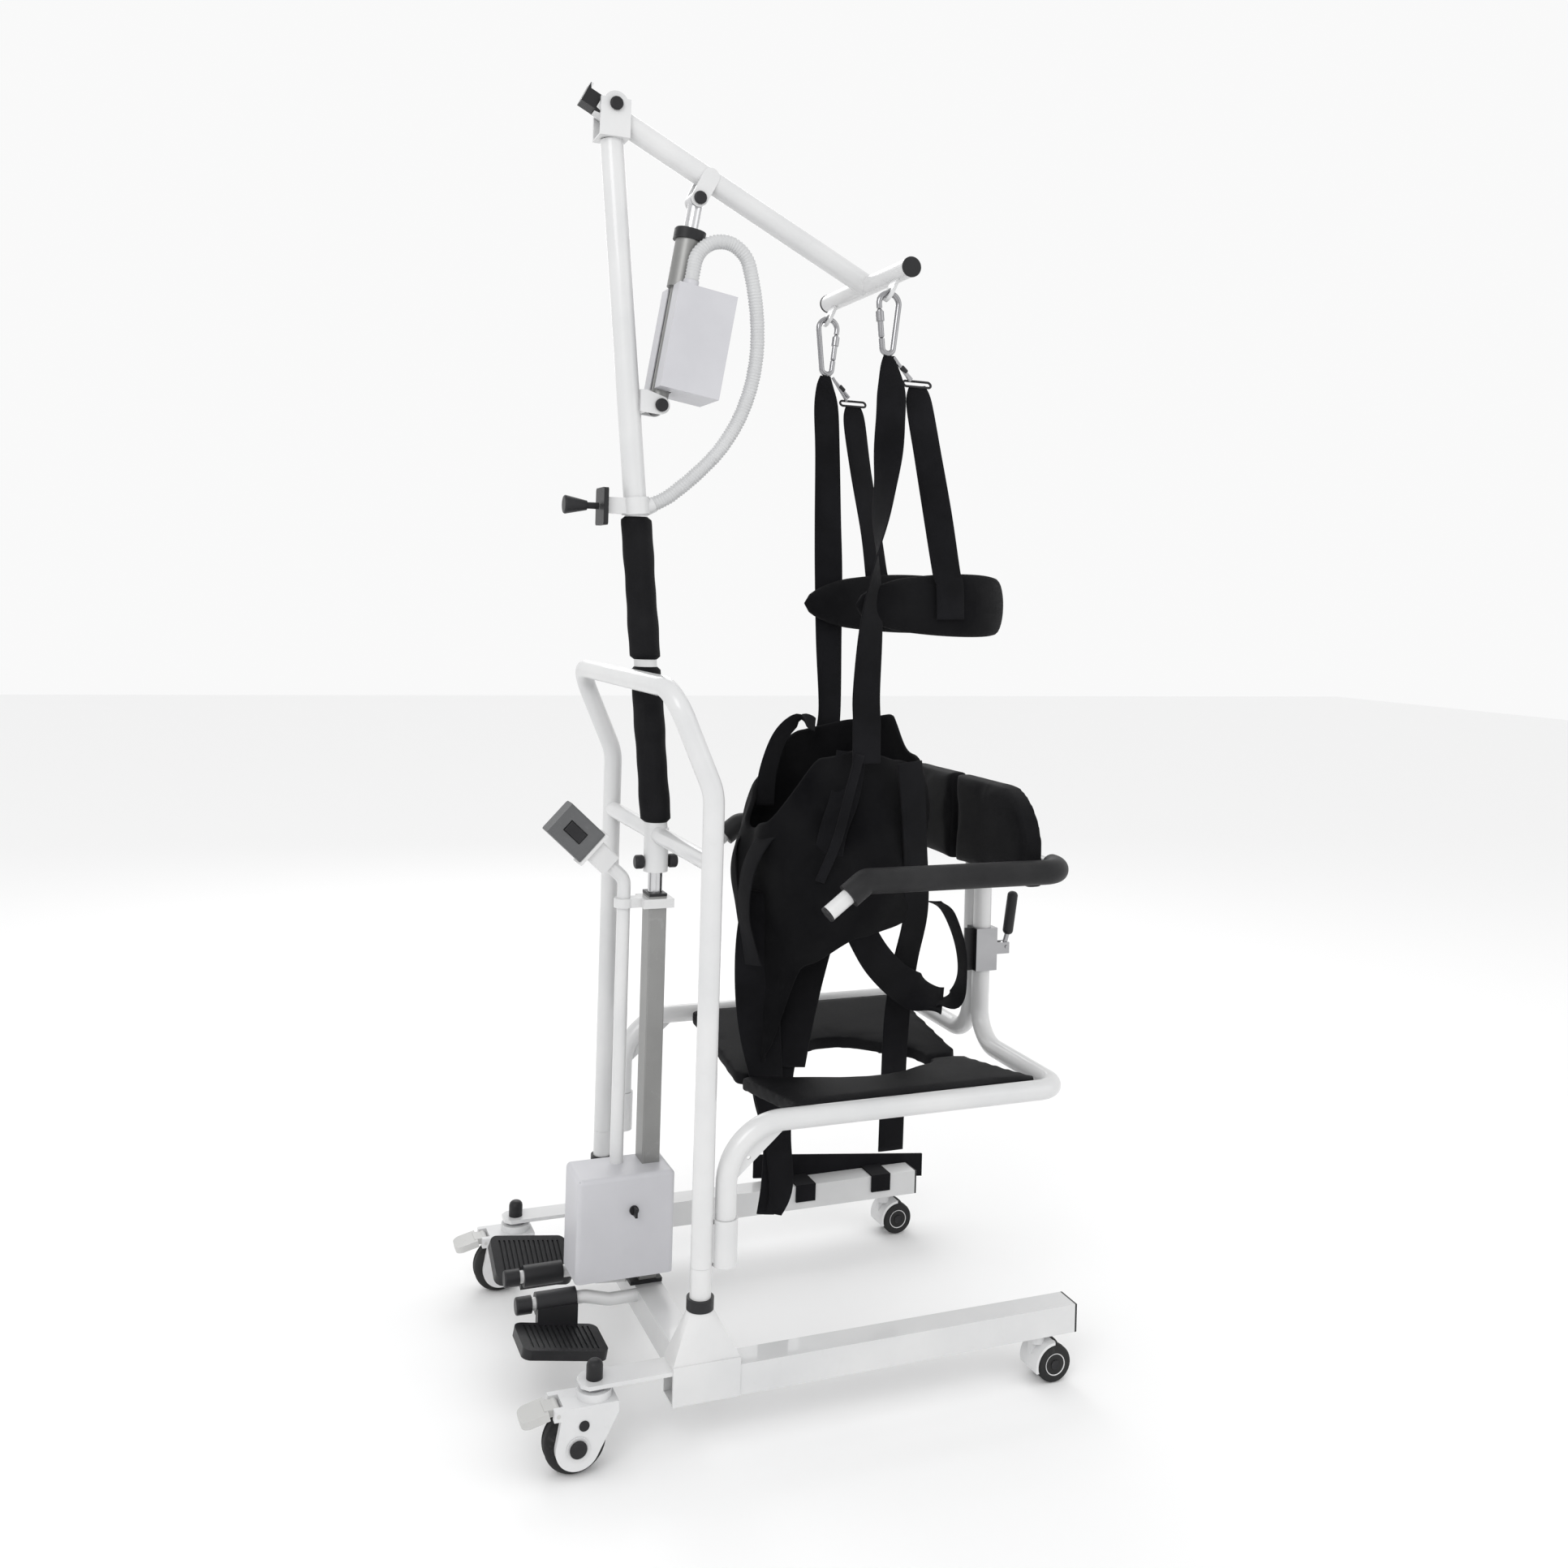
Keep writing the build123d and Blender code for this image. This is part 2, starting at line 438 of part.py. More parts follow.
# ---------------------------------------------------------------- lifting frame
portal_bottom = BUTT_Z + REST_GAP
portal = bent_tube([(0, -HALF, portal_bottom), (0, -HALF, POST_BEND_Z), (HANDLE_X, -HALF, HANDLE_Z),
                    (HANDLE_X, HALF, HANDLE_Z), (0, HALF, POST_BEND_Z), (0, HALF, portal_bottom)],
                   [90, 52, 52, 90], POST_OD, POST_WALL)
nodes["portal_tube"] = portal

SOCKET_OD = 41.0
ROD_SOCKET_BOTTOM = 795.0
crossbar = rod((0, -HALF, CROSSBAR_Z), (0, HALF, CROSSBAR_Z), CROSSBAR_OD)
crossbar += rod((0, 0, ROD_SOCKET_BOTTOM), (0, 0, CROSSBAR_Z + 10), SOCKET_OD)
for side in (-1, 1):
    crossbar -= rod((0, side * HALF, 200), (0, side * HALF, 1000), POST_OD)
crossbar -= rod((0, 0, ROD_SOCKET_BOTTOM), (0, 0, CROSSBAR_Z - 3), ROD_OD)
KNOB_Z = 811.0
SCREW_OD = 8.0
crossbar -= rod((-40, 0, KNOB_Z), (40, 0, KNOB_Z), SCREW_OD + 2 * RUN_CLEAR)
nodes["crossbar"] = crossbar
lift_rod = rod((0, 0, ROD_FOOT), (0, 0, CROSSBAR_Z - 3), ROD_OD)
lift_rod -= rod((-40, 0, KNOB_Z), (40, 0, KNOB_Z), SCREW_OD + 2 * RUN_CLEAR)
nodes["lift_rod"] = lift_rod
screw = rod((-24, 0, KNOB_Z), (24, 0, KNOB_Z), SCREW_OD)
for side in (-1, 1):
    knob = rod((side * (SOCKET_OD / 2 + 0.5), 0, KNOB_Z), (side * (SOCKET_OD / 2 + 16), 0, KNOB_Z), 23)
    screw += fillet(knob.edges(), 4)
nodes["clamp_knobs"] = screw

sleeve = rod((SLEEVE_X, -HALF, SLEEVE_BOTTOM), (SLEEVE_X, -HALF, SLEEVE_TOP), SLEEVE_OD,
             SEAT_OD - 4 + 2 * RUN_CLEAR)
web = block(POST_OD / 2 - 6, SLEEVE_X, -HALF - 5, -HALF + 5, SLEEVE_BOTTOM + 6, SLEEVE_TOP - 6)
web -= rod((0, -HALF, 200), (0, -HALF, 400), POST_OD)
web -= rod((SLEEVE_X, -HALF, 200), (SLEEVE_X, -HALF, 400), SLEEVE_OD - 2)
nodes["seat_sleeves"] = both(sleeve + web)

# ---------------------------------------------------------------- mast and its head
HEAD_OUT = 26.0
HEAD_IN = 20.5
mast_foot = on_mast(CROSSBAR_Z)
mast_end = on_mast(MAST_TOP)
mast = rod(mast_foot, mast_end, MAST_OD, MAST_OD - 5)
mast -= rod((0, 0, CROSSBAR_Z - 40), (0, 0, CROSSBAR_Z + 10), SOCKET_OD)
mast -= rod((0, -HALF, CROSSBAR_Z), (0, HALF, CROSSBAR_Z), CROSSBAR_OD)
head_outline = Pos(PIVOT_X, MAST_TOP + 6) * Rectangle(50, 12) + Pos(PIVOT_X, PIVOT_Z - 17) * Rectangle(50, 54)
head_outline += Pos(PIVOT_X, PIVOT_Z) * Circle(21)
clevis = side_profile(head_outline, -HEAD_OUT, HEAD_OUT)
clevis -= block(PIVOT_X - 40, PIVOT_X + 40, -HEAD_IN, HEAD_IN, MAST_TOP + 3, PIVOT_Z + 40)
BOLT_OD = 12.0
clevis -= rod((PIVOT_X, -40, PIVOT_Z), (PIVOT_X, 40, PIVOT_Z), BOLT_OD)
foot_cheek_hull = make_hull((Pos(ACT_FOOT_X, ACT_FOOT_Z) * Circle(15)).edges()
                            + (Pos(ACT_FOOT_X - 30, ACT_FOOT_Z + 6) * Rectangle(10, 36)).edges())
bracket = side_profile(foot_cheek_hull, -22, 22)
bracket -= block(ACT_FOOT_X - 26, ACT_FOOT_X + 20, -17.5, 17.5, ACT_FOOT_Z - 30, ACT_FOOT_Z + 40)
bracket -= rod(on_mast(ACT_FOOT_Z - 60), on_mast(ACT_FOOT_Z + 60), MAST_OD)
bracket -= rod((ACT_FOOT_X, -40, ACT_FOOT_Z), (ACT_FOOT_X, 40, ACT_FOOT_Z), BOLT_OD)
nodes["mast"] = mast + clevis + bracket

bolts = []
for x, z, out in ((PIVOT_X, PIVOT_Z, HEAD_OUT), (ACT_FOOT_X, ACT_FOOT_Z, 22)):
    bolt = rod((x, -out, z), (x, out, z), BOLT_OD)
    for side in (-1, 1):
        bolt += fillet(rod((x, side * out, z), (x, side * (out + 7), z), 22).edges(), 3)
    bolts.append(bolt)
nodes["pivot_bolts"] = bolts

PAD_OD = 47.0
JOY_Z = 1398.0
PAD_SPLIT = 1140.0
pads = []
for low, high in ((CROSSBAR_Z + 20, PAD_SPLIT - 6), (PAD_SPLIT + 6, JOY_Z - 18)):
    pad = rod(on_mast(low), on_mast(high), PAD_OD)
    pad = fillet(pad.edges(), 3)
    pads.append(pad - rod(on_mast(low - 5), on_mast(high + 5), MAST_OD))
nodes["mast_pads"] = pads

joy_mast = on_mast(JOY_Z)
mount = rod(on_mast(JOY_Z - 14), on_mast(JOY_Z + 14), MAST_OD + 9)
mount += block(-104, joy_mast.X, -13, 13, JOY_Z - 14, JOY_Z + 12)
conduit_end = Vector(joy_mast.X + 30, 0, JOY_Z + 4)
conduit_away = Vector(24, 0, 12).normalized()
mount += rod(conduit_end - conduit_away * 26, conduit_end, CONDUIT_OD + 2)
mount += fillet(block(-112, -104, -27, 27, JOY_Z - 34, JOY_Z + 27).edges().filter_by(Axis.X), 5)
mount -= rod(on_mast(JOY_Z - 30), on_mast(JOY_Z + 30), MAST_OD)
nodes["joystick_mount"] = mount
stick_z = JOY_Z - 3
stick = rod((-114, 0, stick_z), (-136, 0, stick_z), 11)
grip = loft(Sketch() + [Plane(origin=(-134, 0, stick_z), z_dir=(-1, 0, 0)) * Circle(8),
                        Plane(origin=(-172, 0, stick_z), z_dir=(-1, 0, 0)) * Circle(16)])
stick += fillet(grip.edges().group_by(Axis.X)[0], 3)
nodes["joystick_stick"] = stick

# ---------------------------------------------------------------- boom
TAIL_BACK = 50.0
boom = rod(BOOM_START - BOOM_DIR * 24, BAR_CENTRE, BOOM_OD, BOOM_OD - 5)
bar = rod(BAR_CENTRE + Vector(0, -BAR_LENGTH / 2, 0), BAR_CENTRE + Vector(0, BAR_LENGTH / 2, 0), BAR_OD)
boom += bar
boom -= rod(BAR_CENTRE + Vector(0, -BAR_LENGTH / 2, 0), BAR_CENTRE + Vector(0, BAR_LENGTH / 2, 0), BAR_OD - 5)
tail_plane = Plane(origin=BOOM_START - BOOM_DIR * TAIL_BACK, x_dir=(0, 1, 0), z_dir=BOOM_DIR)
tail = extrude(tail_plane * Rectangle(30, 26), TAIL_BACK - 10)
lip_plane = Plane(origin=BOOM_START - BOOM_DIR * TAIL_BACK - BOOM_DOWN * 16, x_dir=(0, 1, 0), z_dir=BOOM_DIR)
tail += extrude(lip_plane * Rectangle(30, 12), 5)
boom += tail
boom -= rod((PIVOT_X, -40, PIVOT_Z), (PIVOT_X, 40, PIVOT_Z), BOLT_OD + 2 * RUN_CLEAR)
EAR_OUT = 20.0
EAR_IN = 15.0
ear_top = EYE - BOOM_DOWN * 42
ears = make_hull((Pos(EYE_X, EYE_Z) * Circle(14)).edges() + (Pos(ear_top.X, ear_top.Z) * Circle(15)).edges())
ear = side_profile(ears, -EAR_OUT, EAR_OUT)
ear -= block(EYE_X - 50, EYE_X + 60, -EAR_IN, EAR_IN, EYE_Z - 40, EYE_Z + 80)
ear -= rod(BOOM_START, BAR_CENTRE, BOOM_OD)
boom += ear
boom -= rod(BOOM_START + BOOM_DIR * 40, BAR_CENTRE - BOOM_DIR * 40, BOOM_OD - 5)
boom -= rod((EYE_X, -40, EYE_Z), (EYE_X, 40, EYE_Z), BOLT_OD)
tab_plane = Plane(origin=BAR_CENTRE - BOOM_DIR * 3, x_dir=(0, 1, 0), z_dir=BOOM_DIR)
drop = -TAB_REACH if (tab_plane.y_dir.dot(BOOM_DOWN) < 0) else TAB_REACH
tab_inner = drop / TAB_REACH * BAR_OD / 4
tab = make_hull((Pos(0, drop) * Circle(TAB_HOLE / 2 + 6)).edges() + (Pos(0, tab_inner) * Circle(9)).edges())
tab -= Pos(0, drop) * Circle(TAB_HOLE / 2)
for side in (-1, 1):
    boom += Pos(0, side * TAB_Y, 0) * extrude(tab_plane * tab, 6)
nodes["boom_frame"] = boom

caps = []
for side in (-1, 1):
    end = BAR_CENTRE + Vector(0, side * BAR_LENGTH / 2, 0)
    cap = fillet(rod(end, end + Vector(0, side * 5, 0), BAR_OD + 2).edges(), 1.5)
    caps.append(cap + rod(end - Vector(0, side * 12, 0), end, BAR_OD - 5))
eye_bolt = rod((EYE_X, -EAR_OUT, EYE_Z), (EYE_X, EAR_OUT, EYE_Z), BOLT_OD)
for side in (-1, 1):
    eye_bolt += fillet(rod((EYE_X, side * EAR_OUT, EYE_Z), (EYE_X, side * (EAR_OUT + 7), EYE_Z), 22).edges(), 3)
nodes["boom_caps"] = caps + [eye_bolt]

# ---------------------------------------------------------------- boom actuator
TUBE_OD = 44.0
BOX_LOW = 26.0               # motor box along the actuator, from the lower pivot
BOX_HIGH = 201.0
BOX_SIDE = 87.0              # motor box reach to the rear of the actuator axis
HEAD_LOW = 282.0
HEAD_HIGH = 300.0
act_across = Vector(ACT_DIR.Z, 0, -ACT_DIR.X)
act_plane = Plane(origin=ACT_FOOT, x_dir=act_across, z_dir=ACT_DIR)


def act_disc(diameter, low, high):
    """A round stretch of the actuator between two distances from its lower pivot."""
    return extrude(act_plane.offset(low) * Circle(diameter / 2), high - low)


act_tube = act_disc(TUBE_OD, BOX_HIGH, HEAD_LOW)
act_tube += act_disc(30, 14, BOX_HIGH)
act_tube += side_profile(Pos(ACT_FOOT_X, ACT_FOOT_Z) * Circle(14), -17, 17)
act_tube -= rod((ACT_FOOT_X, -40, ACT_FOOT_Z), (ACT_FOOT_X, 40, ACT_FOOT_Z), BOLT_OD + 2 * RUN_CLEAR)
act_tube -= act_disc(24 + 2 * RUN_CLEAR, 60, HEAD_LOW)
head_cap = extrude(act_plane.offset(HEAD_LOW) * RectangleRounded(52, 47, 20), HEAD_HIGH - HEAD_LOW)
head_cap -= act_disc(24 + 2 * RUN_CLEAR, HEAD_LOW, HEAD_HIGH)
nodes["actuator_tube"] = [act_tube, head_cap]
rod_end = (EYE - ACT_FOOT).length
eye_gap = 7.0                # open pivot of the boom, rod and actuator loop
act_rod = act_disc(24, 70, rod_end)
act_rod += side_profile(Pos(EYE_X, EYE_Z) * Circle(14), -13, 13)
act_rod -= rod((EYE_X, -40, EYE_Z), (EYE_X, 40, EYE_Z), BOLT_OD + eye_gap)
nodes["actuator_rod"] = act_rod

motor = extrude(act_plane.offset(BOX_LOW) * (Pos((BOX_SIDE - 15) / 2, 0) * Rectangle(BOX_SIDE + 15, 100)),
                BOX_HIGH - BOX_LOW)
inner = act_plane.offset(BOX_LOW + 2) * (Pos((BOX_SIDE - 15) / 2, 0) * Rectangle(BOX_SIDE + 11, 96))
motor -= extrude(inner, BOX_HIGH - BOX_LOW - 4)
slot = act_plane.offset(BOX_LOW - 5) * (Pos(-5, 0) * Rectangle(40, 30))
motor -= extrude(slot, BOX_HIGH - BOX_LOW + 10)
GLAND_ACROSS = 7.0
GLAND_Y = -40.0
gland_at = ACT_FOOT + ACT_DIR * BOX_HIGH + act_across * GLAND_ACROSS + Vector(0, GLAND_Y + 3, 0)
gland = rod(gland_at, gland_at + ACT_DIR * 8, CONDUIT_OD + 1)
nodes["motor_box"] = [motor, gland]

# ---------------------------------------------------------------- conduit from the joystick to the motor box
conduit_start = gland_at + ACT_DIR * 9.5      # clear of the gland as the motor box swings
CONDUIT_ROUTE = [
    tuple(conduit_start), tuple(conduit_start + ACT_DIR * 46), (55, -37, 1838), (90, -36, 1841),
    (119, -34, 1820), (133, -31, 1773), (142, -28, 1723), (146, -23, 1666), (139, -18, 1607),
    (120, -13, 1549), (88, -8, 1495), (44, -3, 1449), tuple(conduit_end + conduit_away * 27),
    tuple(conduit_end),
]


def cord_radii(points):
    """Arc radius at each corner: 0.45 of the shorter run over the tangent of half the turn."""
    radii = []
    for before, here, after in zip(points, points[1:], points[2:]):
        run_in = Vector(*here) - Vector(*before)
        run_out = Vector(*after) - Vector(*here)
        turn = math.radians(run_in.get_angle(run_out))
        radii.append(0.45 * min(run_in.length, run_out.length) / math.tan(turn / 2))
    return radii


radii = cord_radii(CONDUIT_ROUTE)
conduit = bent_tube(CONDUIT_ROUTE, radii, CONDUIT_OD)
conduit_path = FilletPolyline(*CONDUIT_ROUTE, radius=radii)
print("conduit radii", [round(r) for r in radii], "length", round(conduit_path.length, 1))
print("conduit volume ratio", round(conduit.volume / (math.pi * CONDUIT_OD ** 2 / 4 * conduit_path.length), 4))
nodes["conduit"] = conduit

# ---------------------------------------------------------------- seat halves
PEG_OD = SEAT_OD - 4
frame_path = [(SLEEVE_X, -HALF, SLEEVE_TOP + REST_GAP), (SLEEVE_X, -HALF, SEAT_Z),
              (SEAT_REAR_X, -HALF, SEAT_Z), (SEAT_REAR_X, -SEAT_OD / 2 - 1, SEAT_Z),
              (SEAT_REAR_X, -SEAT_OD / 2 - 1, ARM_Z + 80)]
seat_tube = bent_tube(frame_path, [85, 40, 60], SEAT_OD, 2)
peg = rod((SLEEVE_X, -HALF, SLEEVE_BOTTOM + 4), (SLEEVE_X, -HALF, SLEEVE_TOP + 12), PEG_OD)
gusset_outline = make_face(Polyline((SLEEVE_X + 12, 385), (SLEEVE_X + 12, 440), (SLEEVE_X + 28, SEAT_Z - 12),
                                    (128, SEAT_Z - 12), close=True))
gusset = side_profile(gusset_outline, -HALF - 2, -HALF + 2)
gusset -= rod((70, -HALF - 5, 417), (70, -HALF + 5, 417), 6)
gusset -= bent_tube(frame_path, [85, 40, 60], SEAT_OD)
ARM_TURN = 44.0
arm_path = [(SEAT_REAR_X, -SEAT_OD / 2 - 1, ARM_Z), (SEAT_REAR_X, -HALF, ARM_Z), (250, -HALF, ARM_Z),
            (ARM_FRONT_X, -HALF, ARM_Z - 46)]
arm_tube = bent_tube(arm_path, [ARM_TURN, 36], ARM_OD, 2)
seat_frame = seat_tube + peg + gusset
seat_frame += arm_tube - rod((SEAT_REAR_X, -SEAT_OD / 2 - 1, ARM_Z - 60),
                             (SEAT_REAR_X, -SEAT_OD / 2 - 1, ARM_Z + 60), SEAT_OD - 4)
foam_path = [(SEAT_REAR_X, -HALF + ARM_TURN + 2, ARM_Z), (SEAT_REAR_X, -HALF, ARM_Z), (250, -HALF, ARM_Z),
             (222, -HALF, ARM_Z - 21.5)]
foam = bent_tube(foam_path, [ARM_TURN, 18], FOAM_OD) - bent_tube(arm_path, [ARM_TURN, 36], ARM_OD)
plug_dir = Vector(ARM_FRONT_X - 250, 0, -46).normalized()
plug_at = Vector(ARM_FRONT_X, -HALF, ARM_Z - 46)
plug = fillet(rod(plug_at, plug_at + plug_dir * 5, ARM_OD + 1).edges(), 1.5)
PAD_GAP = 2.0
PAD_FRONT = 150.0
PAD_REAR = 588.0
HOLE_MID = 350.0
HOLE_LONG = 340.0
HOLE_WIDE = 200.0
pad_side = HALF - SEAT_OD / 2 - 1
pad_outline = Pos((PAD_FRONT + PAD_REAR) / 2, -(pad_side + PAD_GAP) / 2) * Rectangle(
    PAD_REAR - PAD_FRONT, pad_side - PAD_GAP)
pad_outline = fillet(pad_outline.vertices(), 22)
hole = make_hull((Pos(HOLE_MID + 15, 0) * Circle(HOLE_WIDE / 2)).edges()
                 + (Pos(HOLE_MID - HOLE_LONG / 2 + 30, 0) * Circle(30)).edges()
                 + (Pos(HOLE_MID + HOLE_LONG / 2 - 45, 0) * Circle(45)).edges())
pad_prism = extrude(Pos(0, 0, SEAT_Z - 80) * (pad_outline - hole), 160)
slab = block(PAD_FRONT - 40, PAD_REAR + 40, -HALF - 40, 40, PAD_OUTER_Z - PAD_THICK, PAD_OUTER_Z)
slab = slab.rotate(Axis((0, -pad_side, PAD_OUTER_Z), (1, 0, 0)), -PAD_SLOPE)
seat_pad = pad_prism & slab
BACK_FRONT = 552.0
BACK_REAR = 588.0
BACK_LOW = 787.0
BACK_HIGH = 953.0
back_side = HALF - FOAM_OD / 2 - 5
back_plane = Plane(origin=(BACK_FRONT, 0, 0), x_dir=(0, 1, 0), z_dir=(1, 0, 0))
back_outline = Pos(-(back_side + 3) / 2, (BACK_LOW + BACK_HIGH) / 2) * Rectangle(
    back_side - 3, BACK_HIGH - BACK_LOW)
corners = back_outline.vertices().sort_by(Axis.X)[:2].sort_by(Axis.Y)
back_outline = fillet([corners[-1]], 108)
back_pad = extrude(back_plane * back_outline, BACK_REAR - BACK_FRONT)
back_pad = fillet(back_pad.edges().group_by(Axis.X)[0], 10)
holder = block(BACK_REAR, SEAT_REAR_X, -28, -5, ARM_Z + 22, ARM_Z + 72)
pad_corner = block(SEAT_REAR_X - 60, BACK_REAR + 1.5, -back_side - 1.5, 0, BACK_LOW, BACK_HIGH)
foam -= pad_corner           # the foam gives way where the back pad's corner meets the arm's bend
back_pad += holder - rod((SEAT_REAR_X, -SEAT_OD / 2 - 1, ARM_Z), (SEAT_REAR_X, -SEAT_OD / 2 - 1, ARM_Z + 90), SEAT_OD)
for tag, place in (("near", lambda shape: shape), ("far", mirrored)):
    nodes["seat_frame_" + tag] = place(seat_frame)
    nodes["seat_pad_" + tag] = place(seat_pad)
    nodes["arm_foam_" + tag] = [place(foam), place(plug)]
    nodes["back_pad_" + tag] = place(back_pad)

LATCH_Z = 634.0
tube_y = -SEAT_OD / 2 - 1
latch = block(SEAT_REAR_X - 21, SEAT_REAR_X + 21, tube_y - 20, -1, LATCH_Z - 38, LATCH_Z + 38)
latch += block(SEAT_REAR_X + SEAT_OD / 2 + 1, SEAT_REAR_X + 21, -2, 9, LATCH_Z - 38, LATCH_Z + 38)
latch += block(SEAT_REAR_X - 38, SEAT_REAR_X - 20, tube_y - 8, tube_y - 4, LATCH_Z - 38, LATCH_Z + 38)
latch -= rod((SEAT_REAR_X, tube_y, 500), (SEAT_REAR_X, tube_y, 800), SEAT_OD)
latch -= block(SEAT_REAR_X - 12, SEAT_REAR_X + SEAT_OD / 2 + 1, tube_y, 5, LATCH_Z - 40, LATCH_Z + 40)
LEVER_X = SEAT_REAR_X + 46
for low, high in ((tube_y - 10, tube_y - 6.2), (tube_y + 6.2, tube_y + 10)):
    latch += block(SEAT_REAR_X + 21, LEVER_X + 6, low, high, LATCH_Z - 12, LATCH_Z + 8)
latch -= rod((LEVER_X, tube_y - 20, LATCH_Z), (LEVER_X, tube_y + 20, LATCH_Z), 6 + 2 * RUN_CLEAR)
nodes["latch_clamp"] = latch
lever = rod((LEVER_X, tube_y - 12, LATCH_Z), (LEVER_X, tube_y + 12, LATCH_Z), 6)
lever += rod((LEVER_X, tube_y - 6, LATCH_Z), (LEVER_X, tube_y + 6, LATCH_Z), 15)
lever += rod((LEVER_X, tube_y, LATCH_Z), (LEVER_X + 8, tube_y, LATCH_Z + 26), 9)
grip_low = Vector(LEVER_X + 7, tube_y, LATCH_Z + 20)
grip_high = Vector(LEVER_X + 17, tube_y, LATCH_Z + 98)
lever += fillet(rod(grip_low, grip_high, 19).edges(), 8)
nodes["latch_lever"] = lever

# ---------------------------------------------------------------- sling hardware and webbing
TOP_R = 18.0
LOW_R = 10.0
ring_top = HANG.Z
TOP_CENTRE = ring_top - TOP_R
LOW_CENTRE = ring_top - CARABINER_LENGTH + WIRE + LOW_R
GATE_LOW = LOW_CENTRE + 14
GATE_HIGH = TOP_CENTRE - 8


def ring_side(z):
    """Half width of the carabiner's centre line, on the lines that touch both of its arcs."""
    slope = math.asin((TOP_R - LOW_R) / (TOP_CENTRE - LOW_CENTRE))
    return (TOP_R - (TOP_CENTRE - z) * math.sin(slope)) / math.cos(slope)


def carabiner(side):
    """A pear carabiner in the XZ plane and its gate, which lies on the side given by the sign."""
    low_z = LOW_CENTRE - LOW_R
    corners = [(side, GATE_HIGH), (side, ring_top), (-side, ring_top), (-side, low_z), (side, low_z),
               (side, GATE_LOW)]
    points = [(HANG.X + across * ring_side(z), 0, z) for across, z in corners]
    ring = bent_tube(points, [TOP_R * 0.97, TOP_R * 0.97, LOW_R * 0.97, LOW_R * 0.97], WIRE)
    low = Vector(HANG.X + side * ring_side(GATE_LOW), 0, GATE_LOW)
    high = Vector(HANG.X + side * ring_side(GATE_HIGH), 0, GATE_HIGH)
    along = (high - low).normalized()
    gate = fillet(rod(low + along * REST_GAP, high - along * REST_GAP, WIRE).edges(), 4.5)
    gate += fillet(rod(high - along * 22, high - along * 5, WIRE + 4).edges(), 1)
    return ring, gate


ring_near, gate_near = carabiner(-1)
ring_far, gate_far = carabiner(1)
gate_pin = ring_side(GATE_LOW + 5)
hook = rod((HANG.X + 17, 0, ring_top - 112), (HANG.X + 46, 0, ring_top - 140), 6)
hooks = [Pos(0, side * TAB_Y, 0) * hook for side in (-1, 1)]
nodes["carabiners"] = [Pos(0, -TAB_Y, 0) * ring_near, Pos(0, TAB_Y, 0) * ring_far] + hooks
nodes["gate_near"] = Pos(0, -TAB_Y, 0) * gate_near
nodes["gate_far"] = Pos(0, TAB_Y, 0) * gate_far


def band(points, y0, y1):
    """Flat webbing seen from the side: a closed outline in an XZ plane."""
    return side_profile(make_face(Polyline(*points, close=True)), y0, y1)


VEST_TOP = 1012.0
VEST_BOTTOM = 690.0
VEST_X = 320.0
strap_top = ring_top - CARABINER_LENGTH + WIRE / 2
half_web = WEBBING / 2
straps = []
for side, foot_x in ((-1, 313), (1, 352)):
    y = side * TAB_Y
    straps.append(band([(foot_x - half_web, VEST_TOP), (foot_x + half_web, VEST_TOP),
                        (HANG.X + half_web, strap_top - 90), (HANG.X + 10, strap_top),
                        (HANG.X - 10, strap_top), (HANG.X - half_web, strap_top - 90)],
                       y - WEB_THICK, y + WEB_THICK))
NECK_Y = 115.0
NECK_THICK = 20.0
NECK_LOW = 1203.0
NECK_HIGH = 1292.0
NECK_FRONT = 300.0
NECK_MID = 515.0
for side in (-1, 1):
    y = side * (NECK_Y + NECK_THICK / 2 + WEB_THICK / 2)
    straps.append(band([(435, NECK_LOW + 30), (485, NECK_LOW + 30), (485, 1300), (408, 1610), (382, 1610),
                        (435, 1300)], y - WEB_THICK / 2, y + WEB_THICK / 2))
front_strap = band([(VEST_X - 148, VEST_BOTTOM), (262, VEST_BOTTOM), (262, 520), (260, 192),
                    (215, 192), (215, 500), (185, 560)], -WEB_THICK, WEB_THICK)
rear_strap = band([(425, VEST_BOTTOM), (VEST_X + 150, VEST_BOTTOM), (472, 276), (427, 276)],
                  -WEB_THICK / 2, WEB_THICK / 2)
nodes["sling_straps"] = straps + [front_strap, rear_strap]

outer_u = Pos(NECK_MID, 0) * Circle(NECK_Y + NECK_THICK / 2)
outer_u += Pos((NECK_FRONT + NECK_MID) / 2, 0) * Rectangle(NECK_MID - NECK_FRONT, 2 * NECK_Y + NECK_THICK)
inner_u = Pos(NECK_MID, 0) * Circle(NECK_Y - NECK_THICK / 2)
inner_u += Pos((NECK_FRONT + NECK_MID) / 2, 0) * Rectangle(NECK_MID - NECK_FRONT, 2 * NECK_Y - NECK_THICK)
nodes["neck_pad"] = extrude(Pos(0, 0, NECK_LOW) * (outer_u - inner_u), NECK_HIGH - NECK_LOW)
vest_outline = Ellipse(152, 138) - Ellipse(138, 124)
nodes["vest"] = extrude(Pos(VEST_X, 0, VEST_BOTTOM) * vest_outline, VEST_TOP - VEST_BOTTOM)

BELT_Y = HALF + LEG_SIZE / 2 + 2.5
belt = band([(310, 172), (676, 133), (676, 88), (310, 127)], BELT_Y, BELT_Y + 4)
for x in (400, 560):
    loop = block(x - 20, x + 20, HALF - LEG_SIZE / 2 - 4, BELT_Y, LEG_TOP, LEG_TOP + 3)
    loop += block(x - 20, x + 20, HALF - LEG_SIZE / 2 - 4, HALF - LEG_SIZE / 2, LEG_TOP - 30, LEG_TOP + 3)
    belt += loop
nodes["thigh_belt"] = belt

